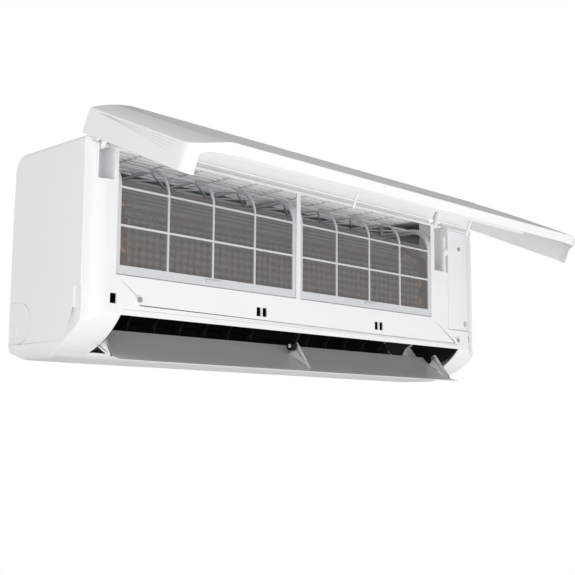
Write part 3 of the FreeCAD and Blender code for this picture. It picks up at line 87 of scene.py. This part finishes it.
class UnitFinishes(bpy.types.PropertyGroup):
    """Colours of the unit's materials."""

    case_white: colour("Casing", (0.86, 0.865, 0.87), "Satin moulded casing")
    panel_white: colour("Panel", (0.88, 0.885, 0.89), "Glossy front panel")
    filter_grey: colour("Filter frame", (0.64, 0.65, 0.665), "Filter frames, rails and clips")
    net_grey: colour("Filter net", (0.27, 0.255, 0.245), "Nylon threads of the filters")
    louver_grey: colour("Louver", (0.80, 0.80, 0.805), "Louver blade")
    throat_black: colour("Air path", (0.009, 0.0095, 0.011), "Outlet, vanes and fan")
    fin_blue: colour("Fins", (0.60, 0.71, 0.77), "Coated edges of the heat exchanger's fins")
    # Fin shadow is painted shade: a dark colour laid in bands where the slits between the fins lie in shade
    fin_painted_shade: colour("Fin shadow", (0.30, 0.265, 0.245), "Slits between the bands of the fins")
    chassis_grey: colour("Chassis", (0.55, 0.56, 0.57), "Back shell and drain tray")


class UnitSizes(bpy.types.PropertyGroup):
    """Sizes of the detail that the frame doesn't give."""

    edge: length("Edge radius", 0.0007, "Rounding of moulded edges")
    net_pitch: length("Net pitch", 0.0014, "Distance between threads of the filter net")
    net_thread: length("Net thread", 0.00034, "Thickness of a thread")
    fin_pitch: length("Fin pitch", 0.0016, "Distance between fins")
    fin_thick: length("Fin thickness", 0.0004, "Thickness of a fin")
    dot_pitch: length("Dot pitch", 0.0024, "Distance between the dots beside the panel's crease")
    dot_radius: length("Dot radius", 0.0005, "Radius of a dot")
    filter_bend: length("Filter bend", 0.043, "Outer radius of the filter's bend")
    filter_thick: length("Filter thickness", 0.0035, "Thickness of a filter's frame")


class StageSettings(bpy.types.PropertyGroup):
    """Floor, lights and camera."""

    floor_radius: length("Floor radius", 6.0, "Radius of the round floor")
    floor_height: FloatProperty(
        name="Floor height", description="Height of the floor", default=-1.5, unit="LENGTH"
    )
    sky: FloatProperty(name="Sky", description="Brightness of the surroundings", default=0.44, min=0)
    key: FloatProperty(
        name="Key", description="Power of the main soft light", default=33.0, min=0, unit="POWER"
    )
    fill: FloatProperty(
        name="Fill", description="Power of the second soft light", default=27.0, min=0, unit="POWER"
    )
    side: FloatProperty(
        name="Side", description="Power of the left side light", default=15.0, min=0, unit="POWER"
    )
    lens: FloatProperty(name="Lens", description="Focal length in millimetres", default=64.23, min=1)
    eye: FloatVectorProperty(
        name="Eye", description="Place of the camera", size=3, subtype="TRANSLATION",
        default=(-1.1541, -1.2258, -0.2399),
    )
    yaw: FloatProperty(
        name="Yaw", description="Turn from +Y towards +X", subtype="ANGLE", default=math.radians(45.91)
    )
    pitch: FloatProperty(name="Pitch", description="Upward tilt", subtype="ANGLE", default=math.radians(7.75))
    roll: FloatProperty(
        name="Roll", description="Turn about the view", subtype="ANGLE", default=math.radians(0.386)
    )


# ---------------------------------------------------------------- materials
class Nodes:
    """A material's node tree, built a node at a time."""

    def __init__(self, name, base, roughness, **constants):
        self.material = bpy.data.materials.new(name)
        self.material.use_nodes = True
        self.tree = self.material.node_tree
        self.shader = self.tree.nodes["Principled BSDF"]
        self.shader.inputs["Base Color"].default_value = (*base, 1)
        self.shader.inputs["Roughness"].default_value = roughness
        for socket, value in constants.items():
            self.shader.inputs[socket.replace("_", " ")].default_value = value
        self.place = self.add("TexCoord").outputs["Object"]

    def add(self, kind, links=(), **settings):
        """A node with settings by attribute and links to its inputs by name or number."""
        node = self.tree.nodes.new("ShaderNode" + kind)
        for name, value in settings.items():
            setattr(node, name, value)
        for socket, source in dict(links).items():
            if isinstance(source, bpy.types.NodeSocket):
                self.tree.links.new(source, node.inputs[socket])
            else:
                node.inputs[socket].default_value = source
        return node

    def noise(self, scale, detail=2.0, stretch=(1, 1, 1)):
        """Noise at this many features a metre."""
        place = self.add("Mapping", {"Vector": self.place, "Scale": stretch}).outputs["Vector"]
        return self.add("TexNoise", {"Vector": place, "Scale": scale, "Detail": detail}).outputs["Fac"]

    def mix(self, share, low, high):
        """A colour between two others."""
        node = self.add("Mix", {"Factor": share}, data_type="RGBA")
        for socket, value in ((node.inputs[6], low), (node.inputs[7], high)):
            if isinstance(value, bpy.types.NodeSocket):
                self.tree.links.new(value, socket)
            else:
                socket.default_value = (*value, 1)
        return node.outputs[2]

    def between(self, value, low, high):
        """A number from 0 to 1 moved into another range."""
        return self.add("MapRange", {"Value": value, "To Min": low, "To Max": high}).outputs["Result"]

    def set(self, socket, source):
        """Links a source to one of the shader's inputs."""
        self.tree.links.new(source, self.shader.inputs[socket])

    def bump(self, height, strength, depth):
        """Relief from a height, this deep in metres."""
        node = self.add("Bump", {"Height": height, "Strength": strength, "Distance": depth})
        self.set("Normal", node.outputs["Normal"])


def moulded(name, base, roughness, grain=1400.0, depth=0.00004, uneven=0.03, **constants):
    """Moulded plastic: faint cloudiness, uneven gloss and the fine grain of the tool."""
    made = Nodes(name, base, roughness, **constants)
    cloud = made.noise(9.0, 3.0)
    darker = [c * (1 - uneven) for c in base]
    made.set("Base Color", made.mix(cloud, darker, base))
    made.set("Roughness", made.between(made.noise(55.0), roughness - 0.04, roughness + 0.06))
    made.bump(made.noise(grain, 2.0), 0.25, depth)
    return made.material


def rolled_metal(name, base, roughness, stretch=(1, 1, 30)):
    """Drawn or rolled metal with fine lines along it."""
    made = Nodes(name, base, roughness, Metallic=1.0)
    lines = made.noise(260.0, 3.0, stretch)
    made.set("Base Color", made.mix(lines, [c * 0.82 for c in base], base))
    made.set("Roughness", made.between(lines, roughness - 0.08, roughness + 0.12))
    made.bump(lines, 0.2, 0.00003)
    return made.material


def spangled(name, base):
    """Galvanised sheet with its crystal pattern."""
    made = Nodes(name, base, 0.4, Metallic=0.9)
    cells = made.add("TexVoronoi", {"Vector": made.place, "Scale": 90.0}).outputs["Color"]
    grey = made.add("RGBToBW", {"Color": cells}).outputs["Val"]
    made.set("Base Color", made.mix(grey, [c * 0.8 for c in base], base))
    made.set("Roughness", made.between(grey, 0.32, 0.5))
    made.bump(grey, 0.1, 0.00003)
    return made.material


def finned(name, edge, shadow, pitch):
    """Coated fins: bands of painted shade that run across them, a tube's pitch apart, between bands of the fins'
    own coated colour.
    """
    made = Nodes(name, edge, 0.42, Metallic=0.55)
    wave = made.add(
        "TexWave", {"Vector": made.place, "Scale": 1 / pitch / 3.18, "Distortion": 0.3, "Detail Scale": 9.0},
        bands_direction="Z",
    ).outputs["Fac"]
    # painted shade: the wave lays the shadow colour in bands between the coated colour of the fins
    made.set("Base Color", made.mix(made.between(wave, 0.0, 1.0), shadow, edge))
    made.set("Roughness", made.between(wave, 0.55, 0.35))
    return made.material


def shell_with_painted_shade(name, outside, air_path_black_and_shade, depth):
    """A back shell: grey towards the wall and black where it lines the air path, in front of this depth; the black
    is the air path's own colour and also painted shade of the deep inside of the unit.
    """
    made = Nodes(name, outside, 0.5)
    into_wall = made.add("SeparateXYZ", {"Vector": made.place}).outputs["Y"]
    share = made.add("MapRange", {"Value": into_wall, "From Min": depth - 0.001, "From Max": depth + 0.001})
    cloud = made.mix(made.noise(9.0, 3.0), [c * 0.95 for c in outside], outside)
    # painted shade: black in front of the depth stands partly for the shade inside the air path
    made.set("Base Color", made.mix(share.outputs["Result"], air_path_black_and_shade, cloud))
    made.bump(made.noise(1400.0), 0.25, 0.00008)
    return made.material


def woven(name, base):
    """Nylon thread."""
    made = Nodes(name, base, 0.6, Sheen_Weight=0.2)
    made.set("Base Color", made.mix(made.noise(160.0), [c * 0.7 for c in base], base))
    made.bump(made.noise(5000.0), 0.3, 0.00003)
    return made.material


def board_green(name):
    """Circuit board lacquer with copper tracks under it."""
    made = Nodes(name, BOARD_GREEN, 0.3, Coat_Weight=0.3)
    track = made.add("TexBrick", {"Vector": made.place, "Scale": 60.0, "Mortar Size": 0.03}).outputs["Fac"]
    made.set("Base Color", made.mix(track, BOARD_GREEN, (0.10, 0.30, 0.12)))
    made.bump(track, 0.3, 0.00005)
    return made.material


def make_materials(scene):
    """Every finish, by the record's slot."""
    c = scene.unit_finishes
    return {
        "casing_white": moulded("Casing white", c.case_white, 0.34, depth=0.00005),
        "panel_white": moulded(
            "Panel white", c.panel_white, 0.24, grain=900.0, depth=0.00002, Coat_Weight=0.35
        ),
        "display_smoke": moulded("Smoked window", (0.26, 0.265, 0.28), 0.12, uneven=0.1, Coat_Weight=0.6),
        "filter_plastic": moulded("Filter grey", c.filter_grey, 0.42),
        "filter_net": woven("Nylon net", c.net_grey),
        "louver_grey": moulded("Louver grey", c.louver_grey, 0.36),
        "throat_black": moulded("Air path black", c.throat_black, 0.6, uneven=0.3, Specular_IOR_Level=0.2),
        "link_grey": moulded("Link grey", (0.05, 0.052, 0.057), 0.4),
        "chassis_grey": shell_with_painted_shade("Chassis grey", c.chassis_grey, c.throat_black, AIR_PATH_DEPTH),
        "fin_aluminium": finned("Coated fins", c.fin_blue, c.fin_painted_shade, TUBE_PITCH),
        "coil_plate": spangled("Galvanised sheet", (0.62, 0.63, 0.65)),
        "copper": rolled_metal("Copper tube", (0.74, 0.38, 0.24), 0.3, (30, 1, 1)),
        "brass": rolled_metal("Brass", (0.78, 0.60, 0.28), 0.28),
        "fan_plastic": moulded("Fan black", (0.02, 0.021, 0.023), 0.42, uneven=0.3),
        "steel": rolled_metal("Zinc plate", (0.66, 0.67, 0.69), 0.32),
        "rubber": moulded("Rubber", (0.02, 0.02, 0.02), 0.75, depth=0.0001),
        "stepper": rolled_metal("Stepper can", (0.72, 0.73, 0.74), 0.35),
        "box_white": moulded("Box white", (0.74, 0.74, 0.72), 0.5),
        "board_green": board_green("Board green"),
        "button_grey": moulded("Button grey", (0.48, 0.49, 0.51), 0.4),
        "lead_sheath": moulded("Lead sleeving", (0.03, 0.03, 0.032), 0.55),
    }


# ---------------------------------------------------------------- pieces
def merged(node):
    """A closed, editable copy of a frame node's mesh."""
    shape = bmesh.new()
    shape.from_mesh(frame["nodes"][node].data)
    bmesh.ops.remove_doubles(shape, verts=shape.verts, dist=1e-6)
    return shape


def finished(shape, name, body, slot, sharp=30.0):
    """A piece from a mesh: smooth where it turns gently, riding on a body, in its slot's finish."""
    mesh = bpy.data.meshes.new(name)
    shape.to_mesh(mesh)
    shape.free()
    for layer in [a.name for a in mesh.attributes if a.name == "custom_normal"]:
        mesh.attributes.remove(mesh.attributes[layer])
    mesh.materials.clear()
    mesh.materials.append(finished.materials[slot])
    mesh.polygons.foreach_set("material_index", [0] * len(mesh.polygons))
    mesh.shade_smooth()
    mesh.set_sharp_from_angle(angle=math.radians(sharp))
    piece = bpy.data.objects.new(name, mesh)
    bpy.context.scene.collection.objects.link(piece)
    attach(piece, body)
    return piece


def eased(piece, width, segments=2, angle=35.0):
    """Rounds a piece's sharp edges."""
    bevel = piece.modifiers.new("Edges", "BEVEL")
    bevel.width = width
    bevel.segments = segments
    bevel.limit_method = "ANGLE"
    bevel.angle_limit = math.radians(angle)
    bevel.use_clamp_overlap = False
    shading = piece.modifiers.new("Shading", "WEIGHTED_NORMAL")
    shading.keep_sharp = True
    shading.weight = 80
    return piece


def repeated(piece, count, step):
    """Repeats a piece in a row."""
    array = piece.modifiers.new("Row", "ARRAY")
    array.use_relative_offset = False
    array.use_constant_offset = True
    array.constant_offset_displace = step
    array.count = count
    return piece


def moulding(node, width, whole_faces=False):
    """The frame's own shape with eased edges, in place of the node; flat faces become whole ones if asked."""
    shape = merged(node)
    if whole_faces:
        bmesh.ops.dissolve_limit(
            shape, angle_limit=math.radians(0.05), verts=shape.verts, edges=shape.edges,
            use_dissolve_boundaries=False, delimit=set(),
        )
    piece = finished(shape, node + "_moulding", BODY[node], SLOT[node])
    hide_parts(node)
    return eased(piece, width)


def refinished(*nodes):
    """Gives frame nodes their finish and keeps their shape."""
    for node in nodes:
        mesh = frame["nodes"][node].data
        mesh.materials.clear()
        mesh.materials.append(finished.materials[SLOT[node]])


def opened():
    """The turn that takes a place on the shut panel to its place at rest."""
    hinge = Vector(HINGE["pos_m"])
    swing = Matrix.Rotation(-math.radians(max(HINGE["range_deg"])), 4, "X")
    return Matrix.Translation(hinge) @ swing @ Matrix.Translation(-hinge)


# ---------------------------------------------------------------- operators
class Builder(bpy.types.Operator):
    """Shared ways of the building operators."""

    bl_options = {"REGISTER", "UNDO"}

    def execute(self, context):
        self.build(context.scene)
        return {"FINISHED"}


class INDOORUNIT_OT_finishes(Builder):
    """Makes every material"""

    bl_idname = "indoorunit.finishes"
    bl_label = "Finishes"

    def build(self, scene):
        finished.materials = make_materials(scene)


class INDOORUNIT_OT_casing(Builder):
    """Builds the casing, its covers and the inlet grille"""

    bl_idname = "indoorunit.casing"
    bl_label = "Casing"

    def build(self, scene):
        edge = scene.unit_sizes.edge
        moulding("front_frame", edge)
        moulding("hinge_pockets", edge / 2)
        moulding("electrical_cover", edge / 2)
        moulding("pipe_knockouts", edge / 2)
        moulding("top_grille", edge / 2)
        moulding("panel_stay_guide", edge)
        refinished("frame_screws", "cover_screw", "push_button")


class INDOORUNIT_OT_panel(Builder):
    """Builds the front panel with its windows, dots, stiffener and arms"""

    bl_idname = "indoorunit.panel"
    bl_label = "Front Panel"

    def build(self, scene):
        edge = scene.unit_sizes.edge
        panel = moulding("front_panel", edge, whole_faces=True)
        moulding("panel_stiffener", edge)
        moulding("panel_hinge_arms", edge)
        refinished("panel_windows")
        self.dots(scene, panel)

    def dots(self, scene, panel):
        """Rows of dots beside the crease of each side: grey discs painted as the shade of small recesses."""
        sizes = scene.unit_sizes
        shut = opened().inverted()
        surface = BVHTree.FromPolygons(
            [shut @ v.co for v in panel.data.vertices], [list(p.vertices) for p in panel.data.polygons]
        )
        low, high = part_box("front_panel")
        shape = bmesh.new()
        top = HINGE["pos_m"][2] - 0.008
        crease = self.crease_depth(surface, high.x, top - 0.11)
        for side in (-1, 1):
            for row in range(DOT_ROWS):
                first, last = 0.012 + 0.008 * row, 0.178 - 0.004 * row
                count = int((last - first) / sizes.dot_pitch)
                for k in range(count):
                    z = top - first - k * sizes.dot_pitch
                    spread = 0.0018 + 0.0026 * row * (k / count)
                    start = Vector((side * (high.x + 0.05), crease + 0.001 + spread * 1.6, z))
                    place, normal, _, _ = surface.ray_cast(start, Vector((-side, 0, 0)))
                    if place is None:
                        continue
                    turn = normal.to_track_quat("Z", "Y").to_matrix().to_4x4()
                    bmesh.ops.create_circle(
                        shape, cap_ends=True, segments=8, radius=sizes.dot_radius,
                        matrix=Matrix.Translation(place + normal * 0.00006) @ turn,
                    )
        shape.transform(opened())
        piece = finished(shape, "panel_crease_dots", "front_panel", "panel_white")
        # the grey of the dots is painted shade of small recesses
        piece.data.materials[0] = moulded("Dot shadow", (0.42, 0.425, 0.43), 0.6)

    def crease_depth(self, surface, half, z):
        """Depth at which the shut panel's side wall turns into its face."""
        y = HINGE["pos_m"][1] - 0.014
        step = 0.0005
        while surface.ray_cast(Vector((half + 0.05, y - step, z)), Vector((-1, 0, 0)))[0] is not None:
            place = surface.ray_cast(Vector((half + 0.05, y - step, z)), Vector((-1, 0, 0)))[0]
            if place.x < half - 0.002:
                break
            y -= step
        return y


class INDOORUNIT_OT_filters(Builder):
    """Builds the air filters: frames and nets"""

    bl_idname = "indoorunit.filters"
    bl_label = "Air Filters"

    def build(self, scene):
        for side in ("left", "right"):
            moulding(f"filter_frame_{side}", scene.unit_sizes.edge * 0.7)
            self.net(scene.unit_sizes, side)

    def net(self, sizes, side):
        """Upright threads that follow the start of the bend, and level ones across them."""
        node = f"filter_mesh_{side}"
        low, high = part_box(node)
        radius = sizes.filter_bend - sizes.filter_thick / 2
        face = low.y + 0.00025
        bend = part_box(f"filter_frame_{side}")[1].z - sizes.filter_bend
        centre = Vector((0, face + radius, bend))
        turn = math.asin((high.z - bend) / radius)
        half = sizes.net_thread / 2
        thread = bmesh.new()
        foot = Matrix.Translation((low.x + sizes.net_pitch / 2, face, low.z))
        foot = foot @ Matrix.Rotation(math.pi / 4, 4, "Z")
        bmesh.ops.create_circle(thread, cap_ends=True, segments=4, radius=half * 1.3, matrix=foot)
        ring = self.pulled(thread, thread.faces[:], (0, 0, bend - low.z))
        bmesh.ops.spin(
            thread,
            geom=ring + list({e for f in ring for e in f.edges}) + list({v for f in ring for v in f.verts}),
            cent=centre, axis=(1, 0, 0), angle=-turn, steps=2, use_duplicate=False,
        )
        bmesh.ops.recalc_face_normals(thread, faces=thread.faces)
        upright = finished(thread, f"filter_net_upright_{side}", BODY[node], SLOT[node])
        repeated(upright, int((high.x - low.x) / sizes.net_pitch), (sizes.net_pitch, 0, 0))
        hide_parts(node)
        level = bmesh.new()
        for k in range(int((bend - low.z) / sizes.net_pitch)):
            self.cross(level, low.x, high.x, (face, low.z + (k + 0.5) * sizes.net_pitch), half)
        for k in range(int(radius * turn / sizes.net_pitch)):
            angle = math.pi - (k + 0.5) * sizes.net_pitch / radius
            place = (centre.y + radius * math.cos(angle), centre.z + radius * math.sin(angle))
            self.cross(level, low.x, high.x, place, half)
        finished(level, f"filter_net_level_{side}", BODY[node], SLOT[node])

    def pulled(self, shape, faces, step):
        """Extrudes faces by a step and gives the new end faces."""
        made = bmesh.ops.extrude_face_region(shape, geom=faces)["geom"]
        bmesh.ops.translate(shape, verts=[g for g in made if isinstance(g, bmesh.types.BMVert)], vec=step)
        bmesh.ops.delete(shape, geom=faces, context="FACES_ONLY")
        return [g for g in made if isinstance(g, bmesh.types.BMFace)]

    def cross(self, shape, left, right, place, half):
        """One level thread at a (y, z) place."""
        middle = Matrix.Translation(((left + right) / 2, *place))
        stretch = Matrix.Diagonal((right - left, 2 * half, 2 * half, 1))
        bmesh.ops.create_cube(shape, size=1.0, matrix=middle @ stretch)


class INDOORUNIT_OT_coil(Builder):
    """Builds the heat exchanger's fins around its tubes"""

    bl_idname = "indoorunit.coil"
    bl_label = "Heat Exchanger"

    def build(self, scene):
        sizes = scene.unit_sizes
        for node in ("coil_front", "coil_upper", "coil_rear"):
            low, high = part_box(node)
            block = merged(node)
            hull = bmesh.ops.convex_hull(block, input=block.verts)
            loose = hull["geom_interior"] + hull["geom_unused"]
            spare = [g for g in loose if isinstance(g, bmesh.types.BMVert)]
            bmesh.ops.delete(block, geom=spare, context="VERTS")
            bmesh.ops.dissolve_limit(
                block, angle_limit=math.radians(1), verts=block.verts, edges=block.edges,
                use_dissolve_boundaries=False, delimit=set(),
            )
            thin = sizes.fin_thick / (high.x - low.x)
            start = Matrix.Translation((-low.x, 0, 0))
            bmesh.ops.scale(block, vec=(thin, 1, 1), space=start, verts=block.verts)
            fins = finished(block, node + "_fins", BODY[node], SLOT[node])
            repeated(fins, int((high.x - low.x) / sizes.fin_pitch), (sizes.fin_pitch, 0, 0))
            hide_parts(node)
        refinished("coil_tubes", "coil_end_plates", "drain_tray", "drain_spigot")


class INDOORUNIT_OT_outlet(Builder):
    """Builds the outlet: throat, louver, swing vanes and their drives"""

    bl_idname = "indoorunit.outlet"
    bl_label = "Outlet"

    def build(self, scene):
        edge = scene.unit_sizes.edge
        moulding("louver", edge * 0.6)
        moulding("louver_hanger", edge * 0.6)
        refinished("outlet_throat", "louver_pivot_pin", "louver_motor")
        refinished("fan_wheel", "motor_shaft", "fan_bearing")
        refinished(*[node for node in frame["nodes"] if node.startswith("vane_")])


class INDOORUNIT_OT_wall_side(Builder):
    """Builds what the wall hides: chassis, plate and pipes"""

    bl_idname = "indoorunit.wall_side"
    bl_label = "Wall Side"

    def build(self, scene):
        edge = scene.unit_sizes.edge
        moulding("rear_chassis", edge)
        moulding("wall_plate", edge * 0.3, whole_faces=True)
        refinished("refrigerant_pipes", "flare_unions", "motor_clamp")


class INDOORUNIT_OT_service_bay(Builder):
    """Builds the motor and the electrics behind the service cover"""

    bl_idname = "indoorunit.service_bay"
    bl_label = "Service Bay"

    def build(self, scene):
        moulding("electrical_box", scene.unit_sizes.edge)
        refinished("circuit_board", "terminal_block", "fan_motor", "motor_lead", "air_sensor")


class INDOORUNIT_OT_stage(Builder):
    """Sets the floor, the lights and the camera"""

    bl_idname = "indoorunit.stage"
    bl_label = "Stage"

    def build(self, scene):
        stage = scene.unit_stage
        shape = bmesh.new()
        bmesh.ops.create_circle(
            shape, cap_ends=True, segments=96, radius=stage.floor_radius,
            matrix=Matrix.Translation((0, 0, stage.floor_height)),
        )
        mesh = bpy.data.meshes.new("floor")
        shape.to_mesh(mesh)
        shape.free()
        mesh.materials.append(moulded("Floor", (0.8, 0.8, 0.8), 0.7))
        floor = bpy.data.objects.new("floor", mesh)
        scene.collection.objects.link(floor)
        self.sky(scene, stage.sky)
        self.lamp(scene, "key", (-2.0, -2.4, -0.3), 2.4, stage.key)
        self.lamp(scene, "fill", (0.3, -1.5, -1.3), 1.6, stage.fill)
        self.lamp(scene, "side", (-2.6, -0.3, 0.0), 1.8, stage.side)
        self.camera(scene, stage)
        scene.view_settings.view_transform = "Standard"

    def sky(self, scene, strength):
        """White surroundings that light the unit gently."""
        world = bpy.data.worlds.new("Studio")
        world.use_nodes = True
        tree = world.node_tree
        back = tree.nodes["Background"]
        back.inputs["Color"].default_value = (1, 1, 1, 1)
        path = tree.nodes.new("ShaderNodeLightPath")
        level = tree.nodes.new("ShaderNodeMapRange")
        level.inputs["To Min"].default_value = strength
        level.inputs["To Max"].default_value = 1.0
        tree.links.new(path.outputs["Is Camera Ray"], level.inputs["Value"])
        tree.links.new(level.outputs["Result"], back.inputs["Strength"])
        scene.world = world

    def lamp(self, scene, name, place, size, power):
        """A square soft light turned to the unit."""
        light = bpy.data.lights.new(name, "AREA")
        light.size = size
        light.energy = power
        lamp = bpy.data.objects.new(name, light)
        lamp.location = place
        lamp.rotation_euler = (Vector(LAMP_AIM) - Vector(place)).to_track_quat("-Z", "Y").to_euler()
        scene.collection.objects.link(lamp)

    def camera(self, scene, stage):
        """The eye in front of the unit's left end, a little below it."""
        lens = bpy.data.cameras.new("camera")
        lens.lens = stage.lens
        lens.clip_end = 60
        camera = bpy.data.objects.new("camera", lens)
        camera.location = stage.eye
        turn = Euler((math.pi / 2 + stage.pitch, 0, -stage.yaw)).to_matrix()
        camera.rotation_euler = (turn @ Matrix.Rotation(stage.roll, 3, "Z")).to_euler()
        scene.collection.objects.link(camera)
        scene.camera = camera


OPERATORS = (
    INDOORUNIT_OT_finishes,
    INDOORUNIT_OT_stage,
    INDOORUNIT_OT_casing,
    INDOORUNIT_OT_panel,
    INDOORUNIT_OT_filters,
    INDOORUNIT_OT_coil,
    INDOORUNIT_OT_outlet,
    INDOORUNIT_OT_wall_side,
    INDOORUNIT_OT_service_bay,
)
SETTINGS = {"unit_finishes": UnitFinishes, "unit_sizes": UnitSizes, "unit_stage": StageSettings}


class INDOORUNIT_PT_sidebar(bpy.types.Panel):
    """Lists the operators and the settings"""

    bl_idname = "INDOORUNIT_PT_sidebar"
    bl_label = "Indoor Unit"
    bl_space_type = "VIEW_3D"
    bl_region_type = "UI"
    bl_category = "Indoor Unit"

    def draw(self, context):
        for operator in OPERATORS:
            self.layout.operator(operator.bl_idname)
        for name, group in SETTINGS.items():
            box = self.layout.box()
            for field in group.__annotations__:
                box.prop(getattr(context.scene, name), field)


def register():
    """Adds the settings, the operators and the sidebar."""
    for name, group in SETTINGS.items():
        bpy.utils.register_class(group)
        setattr(bpy.types.Scene, name, PointerProperty(type=group))
    for operator in OPERATORS:
        bpy.utils.register_class(operator)
    bpy.utils.register_class(INDOORUNIT_PT_sidebar)


def unregister():
    """Takes them away again."""
    bpy.utils.unregister_class(INDOORUNIT_PT_sidebar)
    for operator in reversed(OPERATORS):
        bpy.utils.unregister_class(operator)
    for name, group in SETTINGS.items():
        delattr(bpy.types.Scene, name)
        bpy.utils.unregister_class(group)


def main():
    """Builds everything in order."""
    register()
    for operator in OPERATORS:
        group, name = operator.bl_idname.split(".")
        getattr(getattr(bpy.ops, group), name)()


if __name__ == "__main__":
    main()
